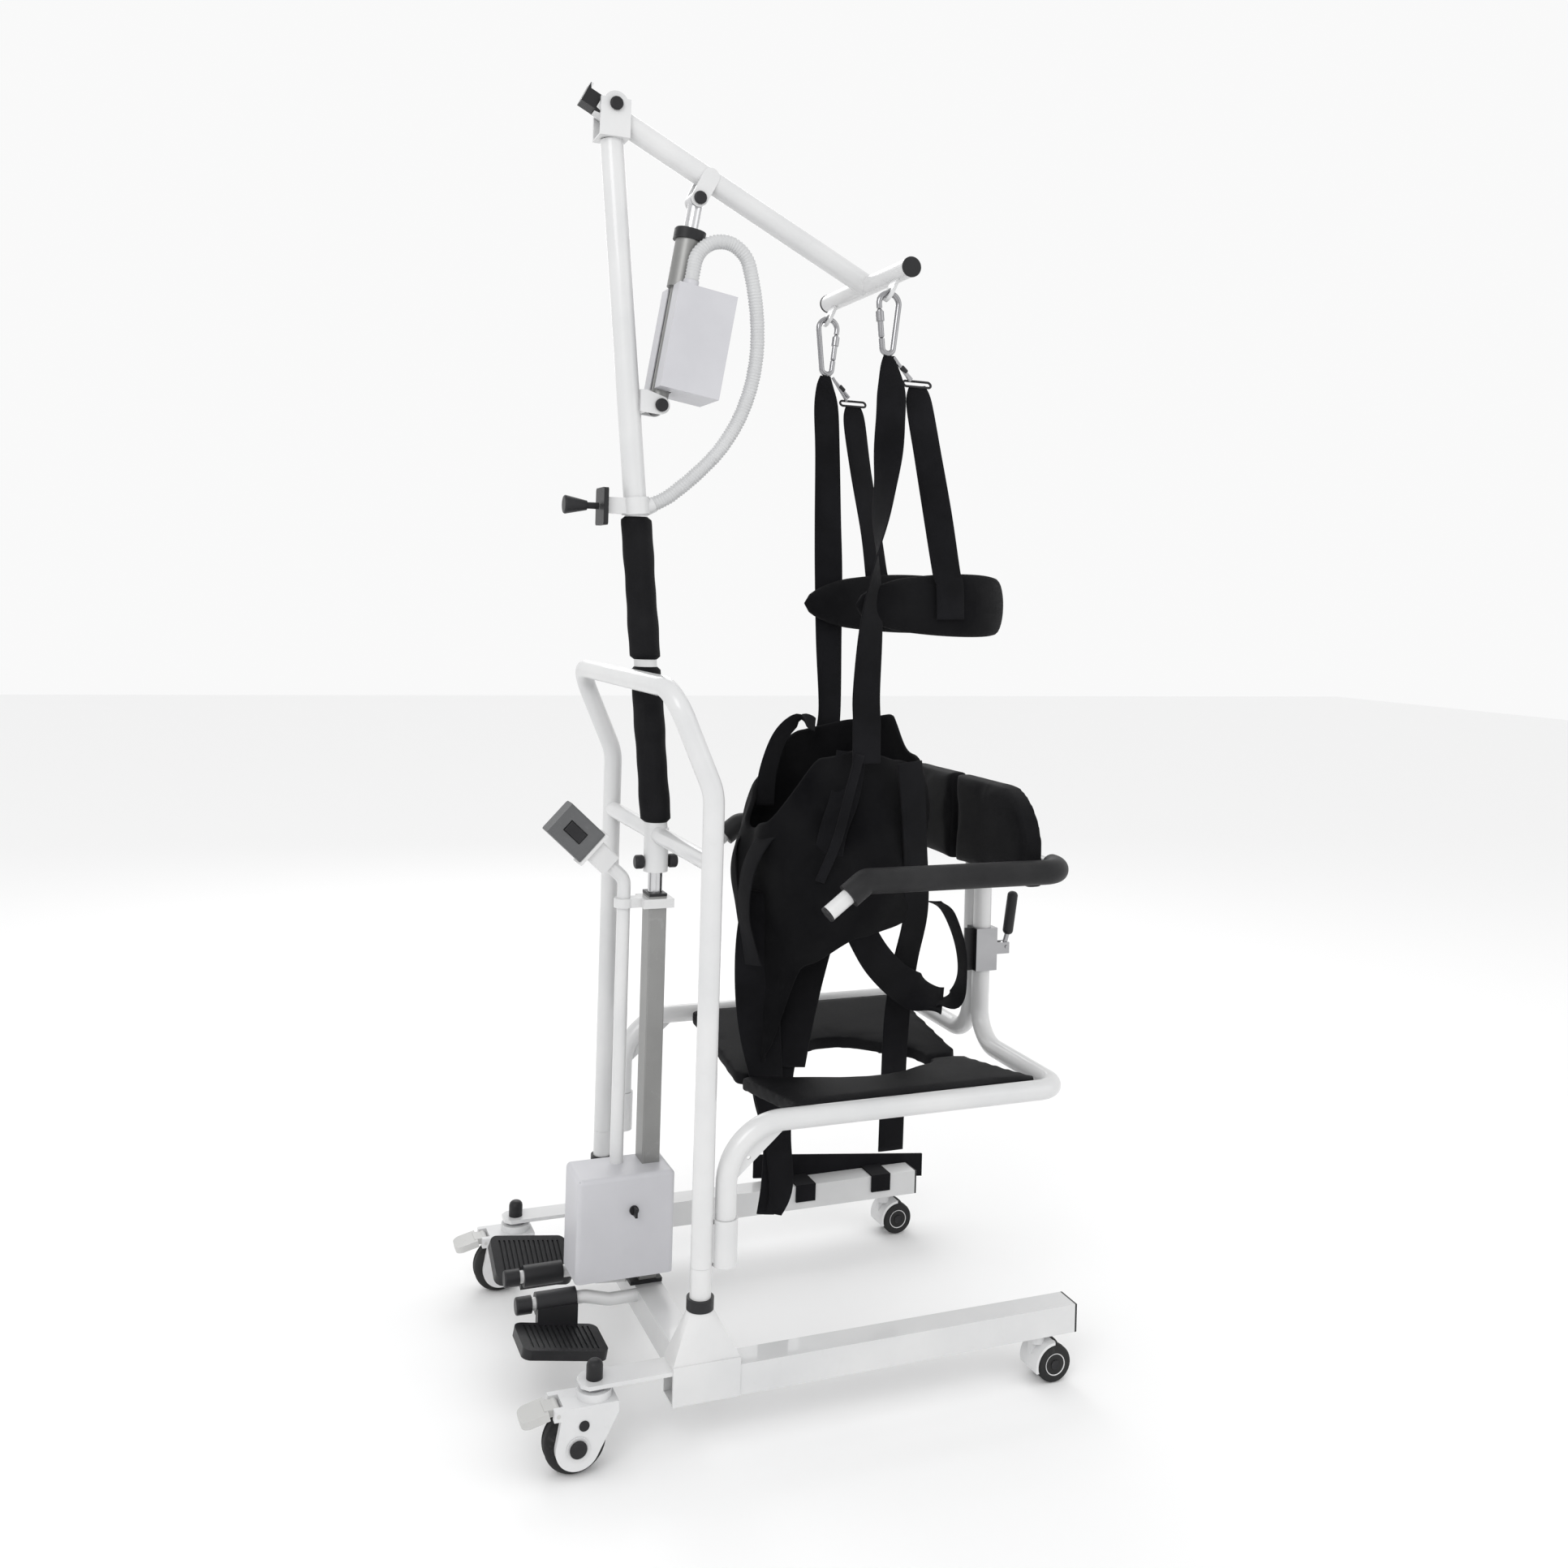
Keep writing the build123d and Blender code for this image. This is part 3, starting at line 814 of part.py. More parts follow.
# ---------------------------------------------------------------- move to the origin and write
everything = Compound(children=[Compound(children=solids_of(item)) for item in nodes.values()])
box = everything.bounding_box()
SHIFT_X = -(box.min.X + box.max.X) / 2
print("box", [round(v, 2) for v in (box.min.X, box.min.Y, box.min.Z, box.max.X, box.max.Y, box.max.Z)])
print("shift along X", round(SHIFT_X, 3), "nodes", len(nodes))
print("hang", [round(v, 3) for v in HANG], "gate pin across", round(gate_pin, 3), "up", round(GATE_LOW + 5, 3))
print("rocker", [round(v, 3) for v in rocker_centre])
print("actuator length", round((EYE - ACT_FOOT).length, 3))
for name, item in nodes.items():
    placed = [Pos(SHIFT_X, 0, 0) * solid for solid in solids_of(item)]
    export_step(Compound(children=placed), "parts/" + name + ".step")
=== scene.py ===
# %% [markdown]
# # A patient lift hoist, dressed in Blender
# This lesson takes the bare engineering model of a wheeled hoist and gives every part its real
# surface. The metal and plastic parts keep their exact shapes and only get a finish. The cloth, the
# foam, the ribbed conduit and the tyres are made here, because those are the shapes a designer
# sculpts and sews, and an engineering model only marks their places.

# %% Load the frame
import math

import bpy
import bmesh
from mathutils import Matrix, Vector, noise


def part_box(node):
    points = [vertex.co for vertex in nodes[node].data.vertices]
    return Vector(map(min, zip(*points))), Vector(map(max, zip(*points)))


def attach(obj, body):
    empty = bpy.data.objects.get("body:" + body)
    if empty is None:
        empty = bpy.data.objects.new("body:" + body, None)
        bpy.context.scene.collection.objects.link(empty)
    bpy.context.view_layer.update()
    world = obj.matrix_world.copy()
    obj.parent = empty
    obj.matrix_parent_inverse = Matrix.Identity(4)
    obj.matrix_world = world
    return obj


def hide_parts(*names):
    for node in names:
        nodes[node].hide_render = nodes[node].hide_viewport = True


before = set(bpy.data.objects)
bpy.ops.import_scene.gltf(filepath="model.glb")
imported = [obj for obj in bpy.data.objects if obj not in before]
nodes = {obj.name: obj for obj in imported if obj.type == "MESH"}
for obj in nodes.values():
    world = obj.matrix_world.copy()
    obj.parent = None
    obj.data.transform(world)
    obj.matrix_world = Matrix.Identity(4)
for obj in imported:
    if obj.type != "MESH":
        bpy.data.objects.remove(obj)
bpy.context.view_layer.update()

# %% [markdown]
# ## One way of naming places
# A maker measures this hoist in millimetres from the two lift posts. Blender works in metres from
# the middle of the floor outline. A single small function turns one into the other, so every number
# below can be read as a maker's measurement.

# %% Places in millimetres
rod_low, rod_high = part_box("lift_rod")
POSTS_X = (rod_low.x + rod_high.x) / 2


def at(x, y, z):
    """A point measured in millimetres from the post plane, the middle and the floor."""
    return Vector((x / 1000 + POSTS_X, y / 1000, z / 1000))


print("post plane at x =", round(POSTS_X, 4))

# %% [markdown]
# ## Shared effects
# Most finishes here need the same few effects: a slow drift of tone, a fine grain, a woven relief
# and a dusting of scuffs. Each effect is a node group with named inputs, built once, so a finish is
# a short recipe of groups with its own numbers.


# %% Node group helpers
def new_group(name, inputs, outputs):
    """A shader node group with (name, socket type, default) inputs and (name, type) outputs."""
    group = bpy.data.node_groups.new(name, "ShaderNodeTree")
    for label, kind, value in inputs:
        socket = group.interface.new_socket(name=label, in_out="INPUT", socket_type=kind)
        socket.default_value = value
    for label, kind in outputs:
        group.interface.new_socket(name=label, in_out="OUTPUT", socket_type=kind)
    return group, group.nodes.new("NodeGroupInput"), group.nodes.new("NodeGroupOutput")


def add_node(tree, kind, **settings):
    """A node with its settings and its unlinked input values."""
    node = tree.nodes.new(kind)
    for key, value in settings.items():
        if key.startswith("in_"):
            node.inputs[key[3:].replace("_", " ")].default_value = value
        else:
            setattr(node, key, value)
    return node


# %% Tone drift: a slow change between two colours
drift, g_in, g_out = new_group(
    "tone_drift",
    [("Vector", "NodeSocketVector", (0, 0, 0)), ("Scale", "NodeSocketFloat", 6.0),
     ("Low", "NodeSocketColor", (0.7, 0.7, 0.7, 1)), ("High", "NodeSocketColor", (0.8, 0.8, 0.8, 1))],
    [("Color", "NodeSocketColor"), ("Mask", "NodeSocketFloat")])
cloud = add_node(drift, "ShaderNodeTexNoise", in_Detail=5.0, in_Roughness=0.55)
ramp = add_node(drift, "ShaderNodeMapRange", in_From_Min=0.32, in_From_Max=0.68)
blend_colors = add_node(drift, "ShaderNodeMix", data_type="RGBA")
drift.links.new(g_in.outputs["Vector"], cloud.inputs["Vector"])
drift.links.new(g_in.outputs["Scale"], cloud.inputs["Scale"])
drift.links.new(cloud.outputs["Fac"], ramp.inputs["Value"])
drift.links.new(ramp.outputs["Result"], blend_colors.inputs["Factor"])
drift.links.new(g_in.outputs["Low"], blend_colors.inputs[6])
drift.links.new(g_in.outputs["High"], blend_colors.inputs[7])
drift.links.new(blend_colors.outputs[2], g_out.inputs["Color"])
drift.links.new(ramp.outputs["Result"], g_out.inputs["Mask"])

# %% Grain: the fine relief of paint, moulded plastic or vinyl
grain, g_in, g_out = new_group(
    "fine_grain",
    [("Vector", "NodeSocketVector", (0, 0, 0)), ("Scale", "NodeSocketFloat", 400.0),
     ("Cells", "NodeSocketFloat", 0.5)],
    [("Height", "NodeSocketFloat")])
speck = add_node(grain, "ShaderNodeTexNoise", in_Detail=3.0)
cells = add_node(grain, "ShaderNodeTexVoronoi")
mixed = add_node(grain, "ShaderNodeMix")
for target in (speck, cells):
    grain.links.new(g_in.outputs["Vector"], target.inputs["Vector"])
    grain.links.new(g_in.outputs["Scale"], target.inputs["Scale"])
grain.links.new(g_in.outputs["Cells"], mixed.inputs[0])
grain.links.new(speck.outputs["Fac"], mixed.inputs[2])
grain.links.new(cells.outputs["Distance"], mixed.inputs[3])
grain.links.new(mixed.outputs[0], g_out.inputs["Height"])

# %% Scuffs: thin marks and dust that handling leaves
scuffs, g_in, g_out = new_group(
    "scuffs",
    [("Vector", "NodeSocketVector", (0, 0, 0)), ("Scale", "NodeSocketFloat", 30.0),
     ("Amount", "NodeSocketFloat", 0.3)],
    [("Mask", "NodeSocketFloat")])
streak = add_node(scuffs, "ShaderNodeTexNoise", in_Detail=8.0, in_Roughness=0.7, in_Distortion=1.5)
edge = add_node(scuffs, "ShaderNodeMapRange", in_From_Min=0.58, in_From_Max=0.72)
strength = add_node(scuffs, "ShaderNodeMath", operation="MULTIPLY")
scuffs.links.new(g_in.outputs["Vector"], streak.inputs["Vector"])
scuffs.links.new(g_in.outputs["Scale"], streak.inputs["Scale"])
scuffs.links.new(streak.outputs["Fac"], edge.inputs["Value"])
scuffs.links.new(edge.outputs["Result"], strength.inputs[0])
scuffs.links.new(g_in.outputs["Amount"], strength.inputs[1])
scuffs.links.new(strength.outputs[0], g_out.inputs["Mask"])

# %% Weave: crossing threads, for webbing and for padded mesh
weave, g_in, g_out = new_group(
    "weave",
    [("Vector", "NodeSocketVector", (0, 0, 0)), ("Threads", "NodeSocketFloat", 600.0)],
    [("Height", "NodeSocketFloat")])
warp = add_node(weave, "ShaderNodeTexWave", bands_direction="X", in_Distortion=0.6)
weft = add_node(weave, "ShaderNodeTexWave", bands_direction="Y", in_Distortion=0.6)
cross = add_node(weave, "ShaderNodeMath", operation="MAXIMUM")
for target in (warp, weft):
    weave.links.new(g_in.outputs["Vector"], target.inputs["Vector"])
    weave.links.new(g_in.outputs["Threads"], target.inputs["Scale"])
weave.links.new(warp.outputs["Fac"], cross.inputs[0])
weave.links.new(weft.outputs["Fac"], cross.inputs[1])
weave.links.new(cross.outputs[0], g_out.inputs["Height"])
print("node groups:", [group.name for group in bpy.data.node_groups])

# %% [markdown]
# ## The finishes
# A finish is one Principled shader fed by the groups above. Powder-coated steel is a bright, slightly
# rippled gloss. Moulded plastic has a cellular grain. Vinyl is darker, softer and shows long creases.
# Webbing and mesh carry a weave on the piece's own UV map, so that the threads follow the strap.


# %% One recipe for all hard finishes
def make_finish(name, low, high, roughness, metallic=0.0, tone=6.0, grain_scale=500.0, cells=0.4,
                relief=0.06, scuff=0.15, scuff_color=(0.5, 0.5, 0.5, 1), coat=0.0, sheen=0.0,
                shine=0.5):
    """A material: tone drift and scuffs in the colour, scuffs in the roughness, grain in the relief."""
    material = bpy.data.materials.new(name)
    material.use_nodes = True
    tree = material.node_tree
    shader = tree.nodes["Principled BSDF"]
    shader.inputs["Metallic"].default_value = metallic
    shader.inputs["Coat Weight"].default_value = coat
    shader.inputs["Sheen Weight"].default_value = sheen
    shader.inputs["Specular IOR Level"].default_value = shine
    place = add_node(tree, "ShaderNodeTexCoord")
    color = add_node(tree, "ShaderNodeGroup", node_tree=drift)
    color.inputs["Scale"].default_value = tone
    color.inputs["Low"].default_value = (*low, 1)
    color.inputs["High"].default_value = (*high, 1)
    marks = add_node(tree, "ShaderNodeGroup", node_tree=scuffs)
    marks.inputs["Amount"].default_value = scuff
    dirty = add_node(tree, "ShaderNodeMix", data_type="RGBA")
    dirty.inputs[7].default_value = scuff_color
    gloss = add_node(tree, "ShaderNodeMapRange", in_To_Min=roughness, in_To_Max=min(1.0, roughness + 0.25))
    bumps = add_node(tree, "ShaderNodeGroup", node_tree=grain)
    bumps.inputs["Scale"].default_value = grain_scale
    bumps.inputs["Cells"].default_value = cells
    bump = add_node(tree, "ShaderNodeBump", in_Strength=relief, in_Distance=0.001)
    for group in (color, marks, bumps):
        tree.links.new(place.outputs["Object"], group.inputs["Vector"])
    tree.links.new(color.outputs["Color"], dirty.inputs[6])
    tree.links.new(marks.outputs["Mask"], dirty.inputs[0])
    tree.links.new(dirty.outputs[2], shader.inputs["Base Color"])
    tree.links.new(marks.outputs["Mask"], gloss.inputs["Value"])
    tree.links.new(gloss.outputs["Result"], shader.inputs["Roughness"])
    tree.links.new(bumps.outputs["Height"], bump.inputs["Height"])
    tree.links.new(bump.outputs["Normal"], shader.inputs["Normal"])
    return material


enamel = make_finish("white_powder_coat", (0.60, 0.605, 0.61), (0.68, 0.68, 0.68), 0.28, grain_scale=700.0,
                     relief=0.05, scuff=0.10, scuff_color=(0.5, 0.49, 0.47, 1), coat=0.35)
case_white = make_finish("white_case_paint", (0.50, 0.50, 0.525), (0.56, 0.56, 0.585), 0.42,
                         grain_scale=1100.0, relief=0.12, scuff=0.06)
anodised = make_finish("anodised_aluminium", (0.24, 0.24, 0.235), (0.30, 0.30, 0.295), 0.40, metallic=0.55,
                       grain_scale=1500.0, relief=0.08, scuff=0.2)
bright = make_finish("bright_plated_steel", (0.30, 0.30, 0.31), (0.42, 0.42, 0.43), 0.22, metallic=1.0,
                     relief=0.02, scuff=0.25, scuff_color=(0.4, 0.4, 0.4, 1))
rod_steel = make_finish("ground_steel", (0.55, 0.55, 0.56), (0.66, 0.66, 0.67), 0.24, metallic=1.0,
                        relief=0.03, scuff=0.2)
black_plastic = make_finish("black_moulded_plastic", (0.010, 0.010, 0.011), (0.018, 0.018, 0.020), 0.40,
                            grain_scale=1400.0, cells=0.8, relief=0.22, scuff=0.12,
                            scuff_color=(0.06, 0.06, 0.06, 1), shine=0.3)
grey_plastic = make_finish("dark_grey_plastic", (0.085, 0.087, 0.09), (0.12, 0.122, 0.125), 0.45,
                           grain_scale=1300.0, cells=0.8, relief=0.2, scuff=0.15, shine=0.35)
pedal_grey = make_finish("pale_grey_plastic", (0.50, 0.50, 0.49), (0.58, 0.58, 0.57), 0.45,
                         grain_scale=1300.0, cells=0.8, relief=0.2, scuff=0.2, scuff_color=(0.3, 0.3, 0.3, 1))
white_plastic = make_finish("white_moulded_plastic", (0.62, 0.625, 0.63), (0.70, 0.70, 0.705), 0.36,
                            grain_scale=1200.0, cells=0.7, relief=0.12, scuff=0.15,
                            scuff_color=(0.35, 0.34, 0.33, 1))
tyre_rubber = make_finish("tyre_rubber", (0.014, 0.014, 0.015), (0.026, 0.026, 0.026), 0.62,
                          grain_scale=900.0, relief=0.3, scuff=0.5, scuff_color=(0.10, 0.098, 0.095, 1), shine=0.2)
foam = make_finish("closed_cell_foam", (0.010, 0.010, 0.011), (0.020, 0.020, 0.021), 0.50, tone=14.0,
                   grain_scale=1100.0, cells=0.9, relief=0.30, scuff=0.15, scuff_color=(0.04, 0.04, 0.04, 1), shine=0.22)
vinyl = make_finish("black_vinyl", (0.006, 0.006, 0.007), (0.013, 0.013, 0.014), 0.58, tone=9.0,
                    grain_scale=650.0, cells=0.85, relief=0.35, scuff=0.12,
                    scuff_color=(0.02, 0.02, 0.022, 1), sheen=0.0, shine=0.06)
conduit_grey = make_finish("conduit_plastic", (0.52, 0.525, 0.53), (0.62, 0.625, 0.63), 0.42,
                           grain_scale=900.0, relief=0.08, scuff=0.25, scuff_color=(0.3, 0.3, 0.3, 1))
board_green = make_finish("printed_board", (0.02, 0.12, 0.05), (0.03, 0.16, 0.07), 0.4)


# %% One recipe for woven finishes
def make_cloth(name, low, high, threads, relief, sheen, edge_stitch):
    """A woven material on the piece's own UV map, in metres, with one pressed line along one edge when edge_stitch
    is given.
    """
    material = make_finish(name, low, high, 0.78, tone=12.0, scuff=0.25, sheen=sheen,
                           scuff_color=(0.016, 0.016, 0.017, 1), shine=0.08)
    tree = material.node_tree
    threads_group = add_node(tree, "ShaderNodeGroup", node_tree=weave)
    threads_group.inputs["Threads"].default_value = threads
    own_uv = add_node(tree, "ShaderNodeUVMap", uv_map="cloth")
    bump = next(node for node in tree.nodes if node.type == "BUMP")
    bump.inputs["Strength"].default_value = relief
    tree.links.new(own_uv.outputs["UV"], threads_group.inputs["Vector"])
    height = threads_group.outputs["Height"]
    if edge_stitch:
        apart = add_node(tree, "ShaderNodeSeparateXYZ")
        side = add_node(tree, "ShaderNodeMath", operation="PINGPONG")
        side.inputs[1].default_value = 0.5
        seam = add_node(tree, "ShaderNodeMapRange", in_From_Min=0.0, in_From_Max=0.004)
        lower = add_node(tree, "ShaderNodeMath", operation="MULTIPLY")
        line = add_node(tree, "ShaderNodeMath", operation="COMPARE")
        line.inputs[1].default_value = edge_stitch
        line.inputs[2].default_value = 0.0012
        tree.links.new(own_uv.outputs["UV"], apart.inputs[0])
        tree.links.new(apart.outputs["X"], line.inputs[0])
        tree.links.new(line.outputs[0], seam.inputs["Value"])
        tree.links.new(height, lower.inputs[0])
        lower.inputs[1].default_value = 1.0
        total = add_node(tree, "ShaderNodeMath", operation="SUBTRACT")
        tree.links.new(lower.outputs[0], total.inputs[0])
        tree.links.new(line.outputs[0], total.inputs[1])
        height = total.outputs[0]
    tree.links.new(height, bump.inputs["Height"])
    return material


webbing = make_cloth("black_webbing", (0.005, 0.005, 0.006), (0.010, 0.010, 0.012), 900.0, 0.5, 0.03, 0.006)
mesh_cloth = make_cloth("padded_mesh_cloth", (0.003, 0.003, 0.004), (0.008, 0.008, 0.009), 500.0, 0.6, 0.02, 0)
print("finishes:", len(bpy.data.materials))

# %% [markdown]
# ## Dressing the engineered parts
# Every part whose real shape is already right only needs its finish. Giving a CAD part a material
# means filling its material slots, and its mesh is left exactly as it was. Thin sheet and tube parts
# are smoothed by their edge angles when they are drawn, which the loader has done already.

# %% Finish of each carried-over part
FINISHES = {
    enamel: ["base_frame", "post_sockets", "lower_posts", "handset_stand", "foot_tubes", "portal_tube",
             "crossbar", "seat_sleeves", "mast", "joystick_mount", "boom_frame", "seat_frame_near",
             "seat_frame_far"],
    case_white: ["control_cover", "motor_box"],
    anodised: ["column_tube", "actuator_tube"],
    bright: ["caster_stems", "carabiners", "gate_near", "gate_far"],
    rod_steel: ["lift_rod", "actuator_rod"],
    black_plastic: ["base_caps", "column_fittings", "handset_rocker", "footplate_near", "footplate_far",
                    "clamp_knobs", "key_switch", "joystick_stick", "pivot_bolts", "boom_caps", "latch_clamp",
                    "latch_lever", "battery_pack"],
    grey_plastic: ["handset_body"],
    pedal_grey: ["brake_pedal_near", "brake_pedal_far"],
    white_plastic: ["front_fork_near", "front_fork_far", "rear_hood_near", "rear_hood_far"],
    tyre_rubber: ["front_wheel_near", "front_wheel_far", "rear_wheels_near", "rear_wheels_far"],
    foam: ["arm_foam_near", "arm_foam_far", "mast_pads"],
    vinyl: ["seat_pad_near", "seat_pad_far", "back_pad_near", "back_pad_far"],
    conduit_grey: ["conduit"],
    board_green: ["control_board"],
    webbing: ["thigh_belt", "sling_straps"],
    mesh_cloth: ["vest", "neck_pad"],
}
for finish, names in FINISHES.items():
    for name in names:
        node = nodes[name]
        node.data.materials.clear()
        node.data.materials.append(finish)


def zone(name, finish, test):
    """Give the faces of a carried-over part that pass a test on their centre, in millimetres, another finish."""
    data = nodes[name].data
    data.materials.append(finish)
    for polygon in data.polygons:
        centre = polygon.center * 1000
        if test(centre.x - POSTS_X * 1000, centre.y, centre.z):
            polygon.material_index = len(data.materials) - 1


ACT_RISE = (0.1616, 0.9869)
zone("actuator_tube", black_plastic,
     lambda x, y, z: (x + 19) * ACT_RISE[0] + (z - 1564) * ACT_RISE[1] > 281 or z < 1582)
zone("joystick_mount", black_plastic, lambda x, y, z: x < -102)
zone("column_fittings", enamel, lambda x, y, z: 700 < z < 755.5)
zone("foot_tubes", black_plastic, lambda x, y, z: x < -198.5)
zone("latch_clamp", bright, lambda x, y, z: x > 592 and y > -38)
zone("latch_lever", bright, lambda x, y, z: z < 652)
zone("boom_frame", black_plastic, lambda x, y, z: x < -129 and z < 2072)
zone("base_caps", rod_steel, lambda x, y, z: x < -140 and z < 130)
zone("arm_foam_near", black_plastic, lambda x, y, z: x < 195)
zone("arm_foam_far", black_plastic, lambda x, y, z: x < 195)
dressed = sum(len(names) for names in FINISHES.values())
print("dressed", dressed, "of", len(nodes), "parts")

# %% [markdown]
# ## Helpers for new pieces
# New hard pieces start as a primitive at its real size and place, and are shaped with edit-mode
# operators. New soft strips are built ring by ring along a line. Both end as an object at the origin
# with its place in its mesh, as the CAD parts have.


# %% Primitive helpers
def deselect():
    bpy.ops.object.select_all(action="DESELECT")


def settle(piece, name):
    """Put the place, turn and size of a new piece into its mesh, and give it its name."""
    deselect()
    piece.select_set(True)
    bpy.context.view_layer.objects.active = piece
    bpy.ops.object.transform_apply(location=True, rotation=True, scale=True)
    piece.name = name
    piece.data.name = name
    return piece


def disc_between(name, start, end, diameter, sides=48):
    """A closed cylinder between two points in millimetres."""
    deselect()
    low, high = at(*start), at(*end)
    bpy.ops.mesh.primitive_cylinder_add(vertices=sides, radius=diameter / 2000, depth=(high - low).length,
                                        location=(low + high) / 2)
    piece = bpy.context.object
    piece.rotation_euler = (high - low).to_track_quat("Z", "Y").to_euler()
    return settle(piece, name)


def round_edges(piece, width, segments=3, angle=40):
    """Bevel the sharp edges in edit mode and smooth the rest."""
    deselect()
    piece.select_set(True)
    bpy.context.view_layer.objects.active = piece
    bpy.ops.object.mode_set(mode="EDIT")
    bpy.ops.mesh.select_mode(type="EDGE")
    bpy.ops.mesh.select_all(action="DESELECT")
    bpy.ops.mesh.edges_select_sharp(sharpness=math.radians(angle))
    bpy.ops.mesh.bevel(offset=width / 1000, segments=segments, affect="EDGES")
    bpy.ops.object.mode_set(mode="OBJECT")
    bpy.ops.object.shade_smooth_by_angle(angle=math.radians(40))
    return piece


def dress(piece, finish, body):
    """Finish, in its one material slot, and body of a new piece."""
    piece.data.materials.clear()
    piece.data.materials.append(finish)
    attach(piece, body)
    return piece


# %% Strip helpers
def smooth_line(points, steps=8):
    """A smooth line through values that may be points or numbers: Catmull-Rom, steps per span."""
    line = []
    count = len(points)
    for index in range(count - 1):
        a = points[max(0, index - 1)]
        b, c = points[index], points[index + 1]
        d = points[min(count - 1, index + 2)]
        for step in range(steps):
            t = step / steps
            line.append(0.5 * (2 * b + (c - a) * t + (2 * a - 5 * b + 4 * c - d) * t ** 2
                               + (3 * b - a - 3 * c + d) * t ** 3))
    line.append(points[-1])
    return line


def mesh_piece(name, verts, faces, uvs=None):
    """A new object from points and faces, with an optional UV for each point."""
    data = bpy.data.meshes.new(name)
    data.from_pydata([tuple(v) for v in verts], [], faces)
    data.update()
    if uvs:
        layer = data.uv_layers.new(name="cloth")
        for loop in data.loops:
            layer.data[loop.index].uv = uvs[loop.vertex_index]
    piece = bpy.data.objects.new(name, data)
    bpy.context.scene.collection.objects.link(piece)
    shape = bmesh.new()
    shape.from_mesh(data)
    bmesh.ops.recalc_face_normals(shape, faces=shape.faces)
    shape.to_mesh(data)
    shape.free()
    for polygon in data.polygons:
        polygon.use_smooth = True
    return piece


def strap(name, stations, thick=2.4, steps=8):
    """Flat webbing. A station is (x, y, z, width, turn): turn is the degrees from +X towards -Y that
    the width points. The strip gets a slightly arched section with square edges."""
    centres = smooth_line([Vector(s[:3]) for s in stations], steps)
    widths = smooth_line([s[3] for s in stations], steps)
    turns = smooth_line([s[4] for s in stations], steps)
    across = [-1.0, -0.94, -0.5, 0.0, 0.5, 0.94, 1.0]
    ring = [(u, 1) for u in across] + [(u, -1) for u in reversed(across)]
    verts, uvs, faces = [], [], []
    length = 0.0
    for index, centre in enumerate(centres):
        before = centres[max(0, index - 1)]
        after = centres[min(len(centres) - 1, index + 1)]
        along = (after - before).normalized()
        if index:
            length += (centre - before).length
        angle = math.radians(turns[index])
        side = Vector((math.cos(angle), -math.sin(angle), 0))
        side = (side - along * side.dot(along)).normalized()
        out = along.cross(side)
        for u, face_side in ring:
            half = thick / 2 * (0.75 if abs(u) == 1.0 else 1.0)
            arch = 0.6 * (1 - u * u)
            point = centre + side * (u * widths[index] / 2) + out * (face_side * half + arch)
            verts.append(at(*point))
            uvs.append(((u + 1) * widths[index] / 2000, length / 1000))
    size = len(ring)
    for row in range(len(centres) - 1):
        for k in range(size):
            a, b = row * size + k, row * size + (k + 1) % size
            faces.append((a, b, b + size, a + size))
    faces.append(tuple(range(size)))
    faces.append(tuple((len(centres) - 1) * size + k for k in reversed(range(size))))
    return mesh_piece(name, verts, faces, uvs)


# %% [markdown]
# ## The webbing
# Each main strap is sewn webbing that folds over a carabiner and runs down to the vest. The near one
# has half a twist in it, as straps do when they are clipped on in a hurry. A strap is modelled
# directly as a flat strip, because a cloth simulation would remesh its crisp edges away.

